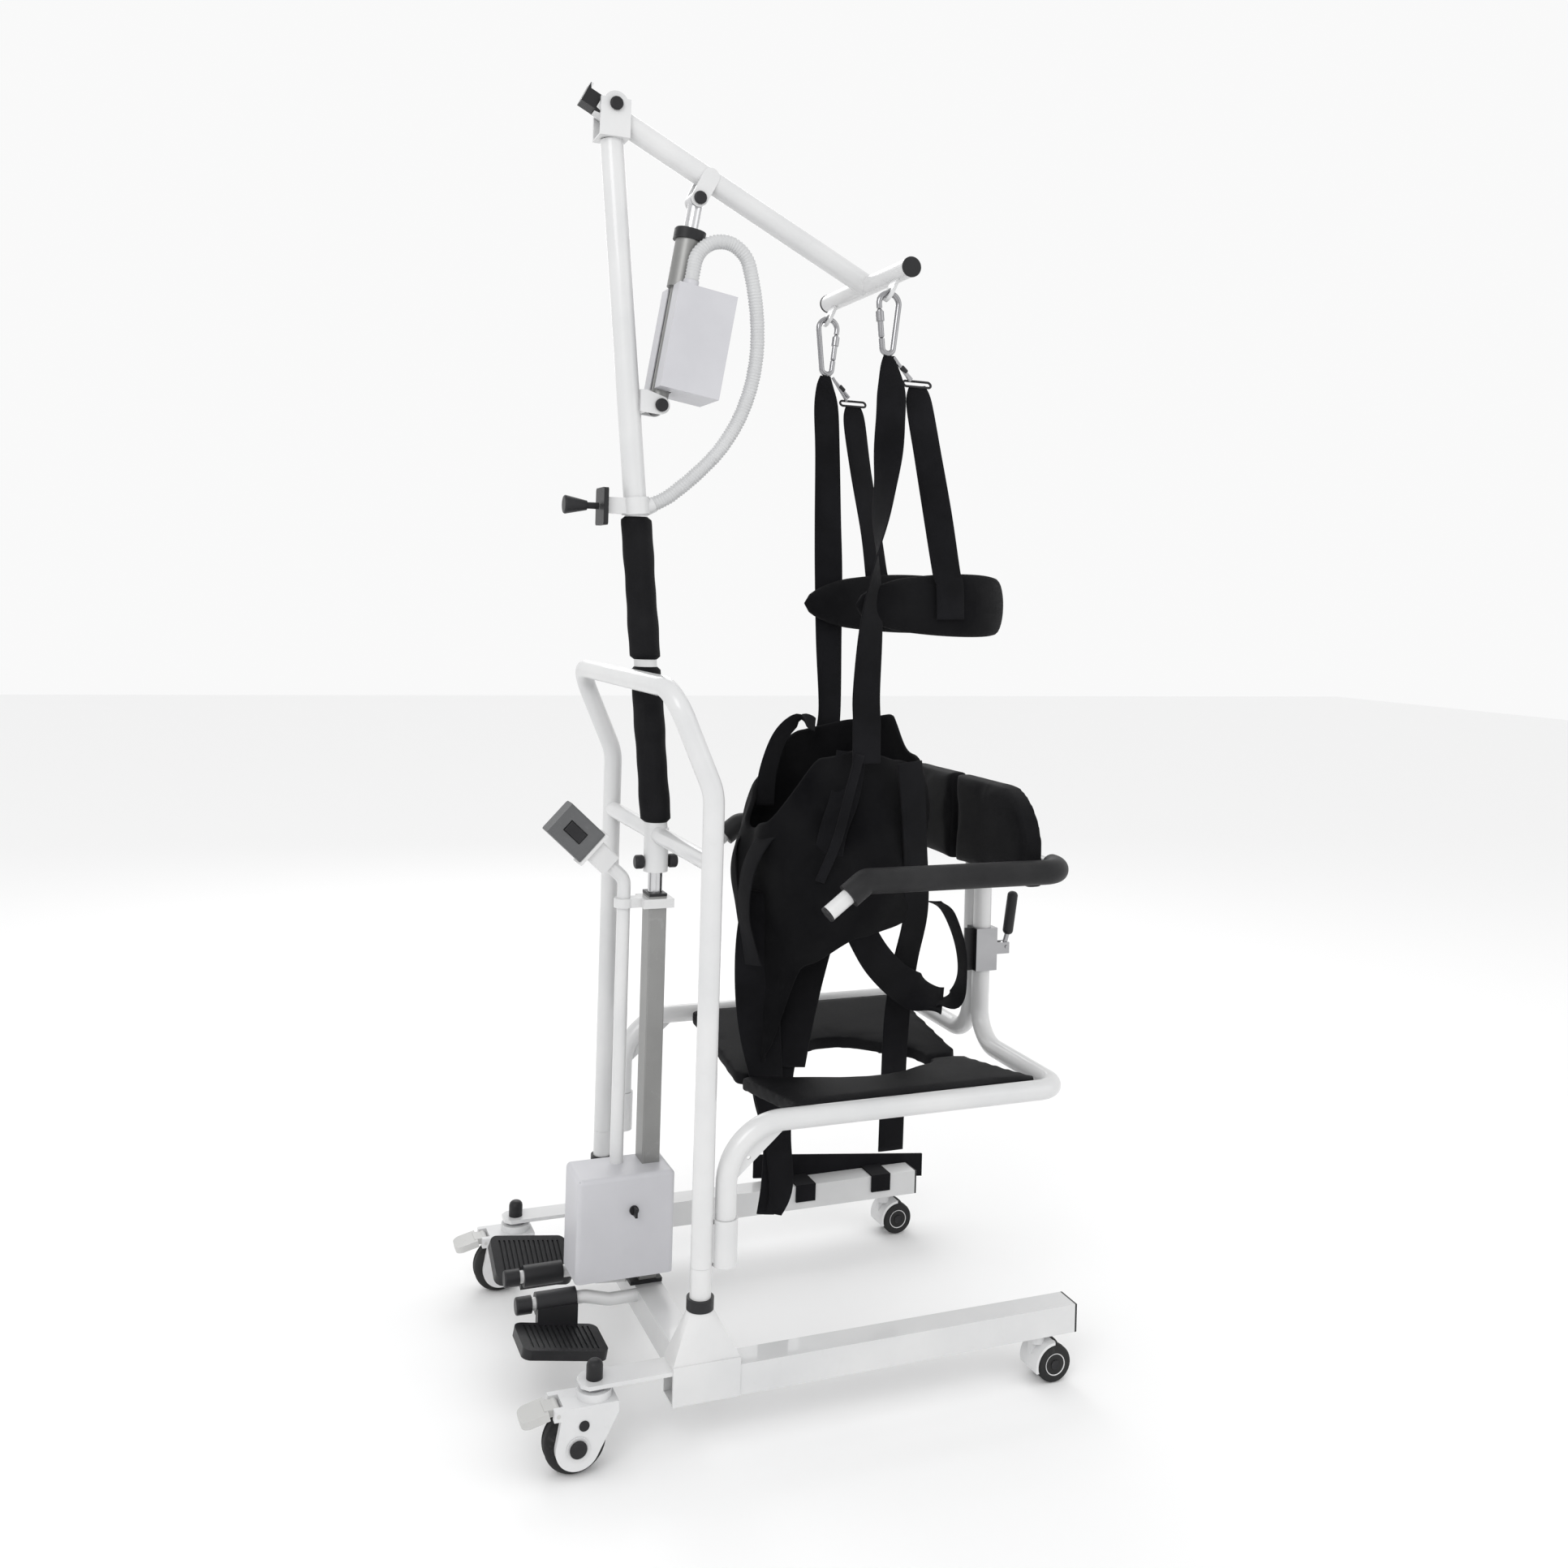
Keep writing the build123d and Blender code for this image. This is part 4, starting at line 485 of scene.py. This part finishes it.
# %% Straps
NEAR, FAR = -128, 128
HX = 337.6
straps = [
    strap("strap_main_near", [(HX + 3, NEAR, 1661, 20, 0), (HX + 4, NEAR - 1, 1640, 34, 0),
                              (346, NEAR - 2, 1600, 50, 5), (345, NEAR - 3, 1545, 50, 15),
                              (341, NEAR - 2, 1460, 50, 62), (334, NEAR, 1390, 50, 82),
                              (328, NEAR - 1, 1300, 50, 130), (320, NEAR - 3, 1200, 50, 165),
                              (314, NEAR - 6, 1100, 50, 178), (313, NEAR - 13, 1050, 50, 180),
                              (312, NEAR - 18, 985, 50, 180)]),
    strap("strap_main_far", [(HX - 2, FAR, 1661, 20, 0), (HX - 2, FAR + 1, 1640, 34, 0),
                             (340, FAR + 2, 1600, 50, -6), (345, FAR + 2, 1520, 52, -8),
                             (349, FAR + 1, 1400, 52, 0), (353, FAR, 1298, 52, 8),
                             (357, FAR, 1180, 50, 2), (364, FAR + 3, 1060, 48, -10),
                             (362, FAR + 6, 1010, 48, -4)]),
    strap("strap_neck_near", [(394, NEAR, 1614, 30, 5), (399, NEAR, 1585, 46, 5), (418, NEAR, 1500, 48, 8),
                              (440, NEAR, 1400, 50, 10), (459, NEAR - 1, 1305, 50, 6),
                              (464, NEAR - 5, 1282, 50, 4), (466, NEAR - 7, 1225, 50, 4)]),
    strap("strap_neck_far", [(392, FAR, 1610, 30, -5), (396, FAR, 1580, 46, -8), (412, FAR, 1490, 48, -14),
                             (436, FAR, 1380, 50, -18), (450, FAR + 1, 1302, 50, -12),
                             (456, FAR + 5, 1280, 50, -6), (458, FAR + 7, 1225, 50, -4)]),
    strap("strap_front_near", [(300, -112, 1000, 50, 20), (286, -122, 930, 48, 24), (262, -126, 860, 46, 24),
                               (262, -80, 720, 52, 12), (258, -26, 620, 54, 10), (246, -8, 520, 50, 8),
                               (232, -4, 430, 46, 6), (232, -4, 330, 46, 0), (240, -2, 240, 44, 0),
                               (228, 0, 196, 32, 0)]),
    strap("strap_front_far", [(178, 50, 850, 46, -60), (156, 40, 820, 44, -70), (168, 20, 740, 44, -40),
                              (192, 8, 660, 46, -8), (196, 6, 560, 46, 0), (198, 5, 470, 44, 4),
                              (208, 3, 400, 42, 4), (226, 2, 330, 40, 4), (222, 2, 250, 34, 0),
                              (214, 2, 196, 32, 0)]),
    strap("strap_back", [(395, -138, 985, 50, -8), (402, -142, 920, 50, -10), (412, -136, 830, 50, -14),
                         (440, -88, 720, 50, -10), (452, -30, 620, 50, -4), (452, -4, 520, 50, 0),
                         (449, -2, 400, 48, 0), (448, -1, 280, 48, 0)]),
]
straps += [
    strap("tail_front_left", [(196, -60, 860, 38, 60), (168, -62, 852, 38, 70), (142, -60, 800, 36, 75),
                              (138, -56, 730, 36, 80), (152, -52, 668, 36, 70), (160, -50, 640, 36, 60)], 2.0),
    strap("tail_side_left", [(306, 60, 1030, 34, -20), (276, 62, 1040, 34, -20), (240, 60, 1010, 36, -20),
                             (218, 58, 950, 38, -16), (212, 56, 890, 38, -10)], 2.0),
    strap("tail_rear", [(470, -96, 740, 40, 60), (500, -92, 720, 40, 80), (528, -88, 660, 40, 90),
                        (536, -84, 600, 40, 95), (526, -76, 562, 40, 70), (500, -60, 556, 40, 50)], 2.0),
    strap("zip_cover", [(300, -146, 1000, 16, 0), (282, -150, 940, 16, 6), (262, -148, 860, 16, 10),
                        (242, -128, 790, 16, 14)], 3.0),
    strap("tail_cross", [(322, -96, 716, 52, 0), (366, -84, 650, 56, -6), (420, -60, 600, 60, -10),
                         (470, -46, 570, 66, -10), (512, -60, 556, 60, 0)], 5.0),
    strap("leg_panel_left", [(178, -44, 760, 70, 18), (172, -36, 680, 74, 14), (178, -22, 600, 76, 10),
                             (188, -14, 520, 72, 6), (204, -9, 440, 58, 4), (218, -8, 360, 40, 2)], 6.0),
    strap("leg_panel_right", [(280, -78, 760, 72, 10), (272, -44, 680, 70, 10), (262, -26, 600, 66, 8),
                              (254, -14, 520, 60, 6), (248, -10, 450, 52, 4)], 6.0),
]
for piece in straps:
    dress(piece, webbing, "sling")
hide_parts("sling_straps")


# %% Wire rings and snap hooks
def wire_loop(name, centre, half_width, radius, wire, turn, tip, finish):
    """A closed wire loop: a small torus in edit mode whose two halves are pulled apart sideways."""
    deselect()
    bpy.ops.mesh.primitive_torus_add(major_radius=radius / 1000, minor_radius=wire / 2000,
                                     major_segments=28, minor_segments=10)
    piece = bpy.context.object
    for vert in piece.data.vertices:
        if abs(vert.co.x) > 1e-5:
            vert.co.x += math.copysign(half_width / 1000, vert.co.x)
    piece.rotation_euler = (math.radians(tip), 0, math.radians(turn))
    piece.location = at(*centre)
    settle(piece, name)
    for polygon in piece.data.polygons:
        polygon.use_smooth = True
    return dress(piece, finish, "sling")


for tag, y, low_x, low_z in (("near", NEAR, 394, 1618), ("far", FAR, 392, 1614)):
    wire_loop("neck_ring_" + tag, (low_x, y, low_z), 20, 5.5, 4.2, 0, 62, black_plastic)
    hook = disc_between("snap_hook_" + tag, (HX + 12, y, 1660), (low_x - 12, y, low_z + 4), 5.5, 20)
    dress(round_edges(hook, 1.2), bright, "sling")
    barrel = disc_between("snap_swivel_" + tag, (HX + 26, y, 1645), (HX + 36, y, 1636), 9, 24)
    dress(round_edges(barrel, 1.5), black_plastic, "sling")
print("straps:", len(straps), "faces:", sum(len(piece.data.polygons) for piece in straps))

# %% [markdown]
# ## The walking vest
# The vest is a padded shell that wraps the chest. Its top edge dips at the front and rises at the
# back into a point, and its lower edge splits into two leg panels. It is lofted from rings whose top
# and bottom change around the body, given a wall, and then pushed about gently, as cloth that hangs
# empty folds in on itself.


# %% Vest shell
def edge_height(table, angle):
    """A height from a table of (degrees, height) around the body, 0 at +X, wrapped and smoothed."""
    angle = angle % 360
    table = table + [(table[0][0] + 360, table[0][1])]
    for (a, low), (b, high) in zip(table, table[1:]):
        if a <= angle <= b:
            t = (angle - a) / (b - a)
            t = t * t * (3 - 2 * t)
            return low + (high - low) * t
    return table[0][1]


TOP_EDGE = [(0, 985), (25, 1050), (60, 1040), (110, 1020), (150, 930), (180, 862), (205, 880), (235, 990),
            (262, 1005), (300, 985), (330, 965)]
LOW_EDGE = [(0, 720), (40, 700), (80, 690), (120, 650), (160, 470), (185, 440), (210, 480), (240, 640),
            (275, 690), (320, 705)]
AROUND, UP = 96, 40
verts, uvs, faces = [], [], []
for level in range(UP + 1):
    t = level / UP
    for k in range(AROUND):
        degrees = 360 * k / AROUND
        angle = math.radians(degrees)
        z = edge_height(LOW_EDGE, degrees) * (1 - t) + edge_height(TOP_EDGE, degrees) * t
        belly = math.sin(math.pi * min(1.0, max(0.0, (z - 600) / 440)))
        half_x = 122 + 44 * belly
        half_y = 96 + 42 * belly
        if z < 690:
            pinch = (690 - z) / 260
            half_y *= 1 - 0.62 * min(1.0, pinch)
            half_x *= 1 - 0.10 * min(1.0, pinch)
        middle = 322 + 14 * (z - 850) / 200
        crease = 5 * math.sin(5 * angle + z / 60) + 3 * math.sin(11 * angle - z / 35)
        wobble = 10 * noise.noise(Vector((math.cos(angle) * 2, math.sin(angle) * 2, z / 120)))
        reach = 1 + (crease + wobble) / 150
        verts.append(at(middle + half_x * reach * math.cos(angle), half_y * reach * math.sin(angle), z))
        uvs.append((degrees / 360 * 0.9, z / 1000))
for level in range(UP):
    for k in range(AROUND):
        a, b = level * AROUND + k, level * AROUND + (k + 1) % AROUND
        faces.append((a, b, b + AROUND, a + AROUND))
vest = mesh_piece("walking_vest", verts, faces, uvs)
solid = vest.modifiers.new("padding", "SOLIDIFY")
solid.thickness = 0.009
solid.offset = -1
fine = vest.modifiers.new("soft", "SUBSURF")
fine.levels = fine.render_levels = 1
deselect()
vest.select_set(True)
bpy.context.view_layer.objects.active = vest
for modifier in ("padding", "soft"):
    bpy.ops.object.modifier_apply(modifier=modifier)
dress(vest, mesh_cloth, "sling")
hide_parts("vest")
print("vest faces:", len(vest.data.polygons))

# %% [markdown]
# ## The neck pad
# The neck pad is a stuffed bolster bent into a U that is open to the front. Its section is a fat
# oval, and it narrows to rounded ends. One oval ring is carried along the U, and the rings shrink
# into the tips, so the piece is a closed form with a soft, full profile.

# %% Neck bolster
path = []
for step in range(73):
    t = step / 72
    run = t * (2 * 205 + math.pi * 104)
    if run < 205:
        path.append((300 + run, -112, t))
    elif run < 205 + math.pi * 104:
        turn = (run - 205) / 104
        path.append((505 + 104 * math.sin(turn), -112 * math.cos(turn), t))
    else:
        path.append((505 - (run - 205 - math.pi * 104), 112, t))
verts, uvs, faces = [], [], []
RING = 28
for index, (x, y, t) in enumerate(path):
    before, after = path[max(0, index - 1)], path[min(72, index + 1)]
    along = Vector((after[0] - before[0], after[1] - before[1], 0)).normalized()
    out = Vector((along.y, -along.x, 0))
    end = min(t, 1 - t)
    grow = math.sqrt(max(0.0, 1 - (1 - min(1.0, end / 0.12)) ** 2)) * 0.96 + 0.04
    wide = 17 * grow * (1 + 0.10 * math.sin(9 * t * math.pi))
    full = 0.60 + 0.40 * math.sin(math.pi * (0.12 + 0.88 * abs(2 * t - 1)))
    high = 54 * grow * full
    middle_z = 1249 - 10 * (1 - full)
    for k in range(RING):
        angle = 2 * math.pi * k / RING
        bulge = abs(math.cos(angle)) ** 0.8 * (1 if math.cos(angle) > 0 else -1)
        point = Vector((x, y, middle_z)) + out * (wide * bulge) + Vector((0, 0, high * math.sin(angle)))
        verts.append(at(*point))
        uvs.append((k / RING * 0.24, t * 0.74))
for row in range(72):
    for k in range(RING):
        a, b = row * RING + k, row * RING + (k + 1) % RING
        faces.append((a, b, b + RING, a + RING))
faces.append(tuple(range(RING)))
faces.append(tuple(72 * RING + k for k in reversed(range(RING))))
neck = mesh_piece("neck_bolster", verts, faces, uvs)
dress(neck, mesh_cloth, "sling")
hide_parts("neck_pad")

# %% [markdown]
# ## Upholstery
# The seat and back pads are foam under stretched vinyl. Real foam swells between its edges, which a
# cloth simulation gives for little effort: the plain solid is copied, remeshed evenly, shrunk a
# little, and blown up from inside with a small pressure. The move of each point is capped, so that
# the pad keeps its size, and one subdivision then makes it smooth.


# %% Puffed pads
def pad_from(node_name, name, shrink, pressure, cap, voxel=0.006):
    """A padded copy of a CAD solid: remeshed, shrunk, inflated for 20 frames, capped and smoothed."""
    source = nodes[node_name]
    deselect()
    piece = bpy.data.objects.new(name, source.data.copy())
    bpy.context.scene.collection.objects.link(piece)
    piece.select_set(True)
    bpy.context.view_layer.objects.active = piece
    piece.data.name = name
    bpy.ops.object.mode_set(mode="EDIT")
    bpy.ops.mesh.select_all(action="SELECT")
    bpy.ops.mesh.remove_doubles(threshold=0.00001)
    bpy.ops.object.mode_set(mode="OBJECT")
    remesh = piece.modifiers.new("even", "REMESH")
    remesh.mode = "VOXEL"
    remesh.voxel_size = voxel
    bpy.ops.object.modifier_apply(modifier="even")
    shape = bmesh.new()
    shape.from_mesh(piece.data)
    bmesh.ops.smooth_vert(shape, verts=shape.verts, factor=0.5, use_axis_x=True, use_axis_y=True, use_axis_z=True)
    shape.normal_update()
    for vert in shape.verts:
        vert.co -= vert.normal * shrink / 1000
    shape.to_mesh(piece.data)
    shape.free()
    start = [v.co.copy() for v in piece.data.vertices]
    cloth = piece.modifiers.new("swell", "CLOTH")
    cloth.settings.use_pressure = True
    cloth.settings.uniform_pressure_force = pressure
    cloth.settings.effector_weights.gravity = 0
    cloth.settings.quality = 4
    cloth.collision_settings.use_collision = False
    cloth.point_cache.frame_start = 1
    cloth.point_cache.frame_end = 20
    for number in range(1, 21):
        bpy.context.scene.frame_set(number)
    swollen = piece.evaluated_get(bpy.context.evaluated_depsgraph_get())
    moved = [v.co.copy() for v in swollen.data.vertices]
    piece.modifiers.remove(cloth)
    bpy.context.scene.frame_set(1)
    for vert, old, new in zip(piece.data.vertices, start, moved):
        step = new - old
        if step.length > cap / 1000:
            step = step.normalized() * cap / 1000
        vert.co = old + step
    fine = piece.modifiers.new("soft", "SUBSURF")
    fine.levels = fine.render_levels = 1
    bpy.ops.object.modifier_apply(modifier="soft")
    for polygon in piece.data.polygons:
        polygon.use_smooth = True
    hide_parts(node_name)
    return piece


for side in ("near", "far"):
    seat = pad_from("seat_pad_" + side, "seat_cushion_" + side, 3.0, 4.0, 4.0)
    dress(seat, vinyl, "seat_" + side)
    back = pad_from("back_pad_" + side, "back_cushion_" + side, 3.0, 4.0, 4.0)
    dress(back, vinyl, "seat_" + side)
    print("pads", side, len(seat.data.polygons), len(back.data.polygons))

# %% [markdown]
# ## The ribbed conduit
# A corrugated conduit protects the cable from the joystick to the motor box. Its ribs are real
# relief, so each rib is two rings of points at two radii, carried along the same route that the
# engineering model uses. The route is the maker's, in millimetres, and its corners are rounded as
# far as the straight runs allow.

# %% Conduit route
foot, eye = Vector((-19, 0, 1564)), Vector((38, 0, 1912))
act_dir = (eye - foot).normalized()
act_across = Vector((act_dir.z, 0, -act_dir.x))
start = foot + act_dir * 209 + act_across * 7 + Vector((0, -37, 0))
end = Vector((-22.09, 0, 1402))
away = Vector((24, 0, 12)).normalized()
ROUTE = [start, start + act_dir * 46, Vector((55, -37, 1838)), Vector((90, -36, 1841)),
         Vector((119, -34, 1820)), Vector((133, -31, 1773)), Vector((142, -28, 1723)),
         Vector((146, -23, 1666)), Vector((139, -18, 1607)), Vector((120, -13, 1549)),
         Vector((88, -8, 1495)), Vector((44, -3, 1449)), end + away * 27, end]


def rounded(route, spacing=1.6):
    """Points along straight runs joined by tangent arcs, with arcs as large as the runs allow."""
    line = [route[0]]
    for before, here, after in zip(route, route[1:], route[2:]):
        into, out = (here - before), (after - here)
        turn = into.angle(out)
        cut = 0.45 * min(into.length, out.length)
        radius = cut / math.tan(turn / 2)
        first, last = here - into.normalized() * cut, here + out.normalized() * cut
        steps = max(2, int(radius * turn / spacing))
        centre_way = (out.normalized() - into.normalized()).normalized()
        centre = here + centre_way * math.hypot(radius, cut)
        a, b = first - centre, last - centre
        normal = a.cross(b).normalized()
        for step in range(steps + 1):
            line.append(centre + Matrix.Rotation(turn * step / steps, 3, normal) @ a)
    line.append(route[-1])
    dense = [line[0]]
    for a, b in zip(line, line[1:]):
        count = max(1, int((b - a).length / spacing))
        dense += [a.lerp(b, (k + 1) / count) for k in range(count)]
    return dense


line = rounded(ROUTE)

# %% Conduit mesh
PITCH = 5.2
SIDES = 28
verts, faces = [], []
frame_side = Vector((0, 1, 0))
run = 0.0
for index, point in enumerate(line):
    before, after = line[max(0, index - 1)], line[min(len(line) - 1, index + 1)]
    along = (after - before).normalized()
    if index:
        run += (point - line[index - 1]).length
    side = (frame_side - along * frame_side.dot(along)).normalized()
    up = along.cross(side)
    wave = math.sin(2 * math.pi * run / PITCH)
    radius = 11.7 + 0.8 * max(-1.0, min(1.0, 1.6 * wave))
    for k in range(SIDES):
        angle = 2 * math.pi * k / SIDES
        verts.append(at(*(point + side * radius * math.cos(angle) + up * radius * math.sin(angle))))
for row in range(len(line) - 1):
    for k in range(SIDES):
        a, b = row * SIDES + k, row * SIDES + (k + 1) % SIDES
        faces.append((a, b, b + SIDES, a + SIDES))
faces.append(tuple(range(SIDES)))
faces.append(tuple((len(line) - 1) * SIDES + k for k in reversed(range(SIDES))))
ribbed = mesh_piece("ribbed_conduit", verts, faces)
dress(ribbed, conduit_grey, "lift")
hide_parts("conduit")

# %% [markdown]
# ## Tyres, hubs and rings
# The front casters have one wide tyre with shallow tread lines and a cover disc on each cheek. The
# rear casters have two narrow wheels each, with a white ring and a dark centre. Each new tyre starts
# as a cylinder, gets its rounded shoulders with a bevel, and its tread by cutting thin rings and pressing them in.


# %% Tyres
def wheel_tyre(name, centre, radius, width, shoulder, grooves):
    """A tyre on an axle along Y: a bevelled cylinder whose tread has grooves pressed into it."""
    x, y, z = centre
    deselect()
    bpy.ops.mesh.primitive_cylinder_add(vertices=72, radius=radius / 1000, depth=width / 1000,
                                        location=at(x, y, z), rotation=(math.pi / 2, 0, 0))
    piece = settle(bpy.context.object, name)
    bpy.ops.object.mode_set(mode="EDIT")
    bpy.ops.mesh.select_mode(type="EDGE")
    bpy.ops.mesh.select_all(action="DESELECT")
    bpy.ops.mesh.edges_select_sharp(sharpness=math.radians(60))
    bpy.ops.mesh.bevel(offset=shoulder / 1000, segments=5, affect="EDGES")
    for groove in grooves:
        for edge_at in (groove - 0.8, groove + 0.8):
            bpy.ops.mesh.select_all(action="SELECT")
            bpy.ops.mesh.bisect(plane_co=at(x, y + edge_at, z), plane_no=(0, 1, 0))
    bpy.ops.object.mode_set(mode="OBJECT")
    for vert in piece.data.vertices:
        off = (vert.co - at(x, y, z)) * 1000
        reach = math.hypot(off.x, off.z)
        if reach > radius - 0.3 and any(abs(abs(off.y - groove) - 0.8) < 0.05 for groove in grooves):
            shrink = (reach - 0.9) / reach
            vert.co.x = at(x, 0, 0).x + off.x * shrink / 1000
            vert.co.z = (z + off.z * shrink) / 1000
    bpy.ops.object.shade_smooth_by_angle(angle=math.radians(35))
    return piece


def hub_disc(name, centre, outward, radius, thick, lip):
    """A cover disc that faces along Y: a cylinder whose face is inset and pressed in, then rounded."""
    x, y, z = centre
    piece = disc_between(name, (x, y, z), (x, y + outward * thick, z), 2 * radius, 56)
    bpy.ops.object.mode_set(mode="EDIT")
    bpy.ops.mesh.select_mode(type="FACE")
    bpy.ops.mesh.select_all(action="DESELECT")
    bpy.ops.object.mode_set(mode="OBJECT")
    for polygon in piece.data.polygons:
        if len(polygon.vertices) > 10 and polygon.normal.y * outward > 0.9:
            polygon.select = True
    bpy.ops.object.mode_set(mode="EDIT")
    bpy.ops.mesh.inset(thickness=lip / 1000)
    bpy.ops.transform.translate(value=(0, -outward * 0.0012, 0))
    bpy.ops.object.mode_set(mode="OBJECT")
    return round_edges(piece, 0.5, 2)


for tag, side in (("near", -1), ("far", 1)):
    middle = side * 287.5
    tyre = wheel_tyre("front_tyre_" + tag, (-185, middle, 45), 45, 30, 8, (-6, 0, 6))
    dress(tyre, tyre_rubber, "front_roll_" + tag)
    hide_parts("front_wheel_" + tag)
    for outward in (-1, 1):
        label = tag + ("_out" if outward == side else "_in")
        ring = hub_disc("front_ring_" + label, (-185, middle + outward * 27.2, 45), outward, 17, 2.4, 2.0)
        dress(ring, white_plastic, "front_roll_" + tag)
        plug = hub_disc("front_plug_" + label, (-185, middle + outward * 29.0, 45), outward, 12.5, 2.4, 2.0)
        dress(plug, black_plastic, "front_roll_" + tag)
        cap = hub_disc("front_cap_" + label, (-177, middle + outward * 26.8, 76), outward, 7.5, 1.8, 1.5)
        dress(cap, black_plastic, "front_swivel_" + tag)
    for offset in (-15.2, 15.2):
        label = tag + ("_a" if offset < 0 else "_b")
        tyre = wheel_tyre("rear_tyre_" + label, (600, middle + offset, 30), 30, 17.6, 5, (0,))
        dress(tyre, tyre_rubber, "rear_roll_" + tag)
        outward = 1 if offset > 0 else -1
        ring = hub_disc("rear_ring_" + label, (600, middle + outward * 23.4, 30), outward, 17.5, 1.6, 1.6)
        dress(ring, white_plastic, "rear_roll_" + tag)
        plug = hub_disc("rear_plug_" + label, (600, middle + outward * 24.4, 30), outward, 7.5, 1.4, 1.2)
        dress(plug, black_plastic, "rear_roll_" + tag)
        if label == tag + "_a":
            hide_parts("rear_wheels_" + tag)

# %% [markdown]
# ## The mast pads
# Two foam sleeves protect the patient from the mast. Each is a flat pad wrapped round the tube and
# closed by a sewn flap along one side, so the section is a little squarer than a tube, the ends are
# rounded, and a seam line runs down the near side.

# %% Mast pads
lean = math.radians(5.5)
for name, low, high in (("mast_pad_low", 877, 1134), ("mast_pad_high", 1146, 1380)):
    verts, uvs, faces = [], [], []
    ROWS, SIDES = 48, 48
    for row in range(ROWS + 1):
        t = row / ROWS
        z = low + (high - low) * t
        end_near = min(t, 1 - t) * (high - low)
        swell = 24.6 - 2.6 * max(0.0, 1 - end_near / 7) ** 2 + 0.5 * math.sin(z / 23) + 0.4 * math.sin(z / 9)
        for k in range(SIDES):
            angle = 2 * math.pi * k / SIDES
            seam = math.exp(-((math.degrees(angle) - 250) / 4) ** 2)
            squarer = 1 + 0.04 * math.cos(4 * angle)
            radius = swell * squarer - 1.8 * seam
            if row in (0, ROWS):
                radius = 19.3
            middle = -math.tan(lean) * (z - 857)
            verts.append(at(middle + radius * math.cos(angle), radius * math.sin(angle), z))
            uvs.append((k / SIDES * 0.15, z / 1000))
    for row in range(ROWS):
        for k in range(SIDES):
            a, b = row * SIDES + k, row * SIDES + (k + 1) % SIDES
            faces.append((a, b, b + SIDES, a + SIDES))
    faces.append(tuple(range(SIDES)))
    faces.append(tuple(ROWS * SIDES + k for k in reversed(range(SIDES))))
    pad = mesh_piece(name, verts, faces, uvs)
    dress(pad, vinyl, "lift")
    if name == "mast_pad_low":
        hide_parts("mast_pads")

# %% [markdown]
# ## Light, floor and camera
# The hoist stands on a plain pale floor under a large soft key light, a fill and a rim. The camera
# stands well back on the near side at chest height and looks level, a little towards the rear, with
# a small downward shift that frames the wheels without tilting the posts.

# %% Floor and world
deselect()
bpy.ops.mesh.primitive_plane_add(size=30, location=(0, 0, -0.0005))
floor = bpy.context.object
floor.name = "studio_floor"
paper = bpy.data.materials.new("studio_paper")
paper.use_nodes = True
paper.node_tree.nodes["Principled BSDF"].inputs["Base Color"].default_value = (0.93, 0.93, 0.93, 1)
paper.node_tree.nodes["Principled BSDF"].inputs["Roughness"].default_value = 0.9
floor.data.materials.append(paper)
world = bpy.data.worlds.new("studio")
bpy.context.scene.world = world
world.use_nodes = True
world.node_tree.nodes["Background"].inputs["Color"].default_value = (1.0, 1.0, 1.0, 1)
world.node_tree.nodes["Background"].inputs["Strength"].default_value = 0.95
bpy.context.scene.view_settings.view_transform = "Standard"


# %% Soft lights
def soft_light(name, place, target, size, power):
    """A square area light in metres that faces a target."""
    data = bpy.data.lights.new(name, "AREA")
    data.size = size
    data.energy = power
    light = bpy.data.objects.new(name, data)
    bpy.context.scene.collection.objects.link(light)
    light.location = place
    light.rotation_euler = (Vector(target) - Vector(place)).to_track_quat("-Z", "Y").to_euler()
    return light


soft_light("key", (-2.6, -3.2, 3.4), (0, 0, 1.0), 2.2, 55)
soft_light("fill", (3.0, -2.6, 2.2), (0, 0, 0.9), 2.6, 14)
soft_light("rim", (0.5, 3.2, 3.0), (0, 0, 1.2), 2.0, 30)

# %% Camera
yaw, roll = math.radians(-21.69), math.radians(1.62)
forward = Vector((-math.sin(yaw), math.cos(yaw), 0))
right = Vector((math.cos(yaw), math.sin(yaw), 0))
up = Vector((0, 0, 1))
side_axis = math.cos(roll) * right + math.sin(roll) * up
up_axis = -math.sin(roll) * right + math.cos(roll) * up
camera_data = bpy.data.cameras.new("camera")
camera_data.sensor_width = 36
camera_data.lens = 33.304
camera_data.shift_x = -0.0007
camera_data.shift_y = -0.1185
camera = bpy.data.objects.new("camera", camera_data)
bpy.context.scene.collection.objects.link(camera)
place = Matrix((side_axis, up_axis, -forward)).transposed().to_4x4()
place.translation = at(-701.7, -2311.7, 1253.2)
camera.matrix_world = place
bpy.context.scene.camera = camera
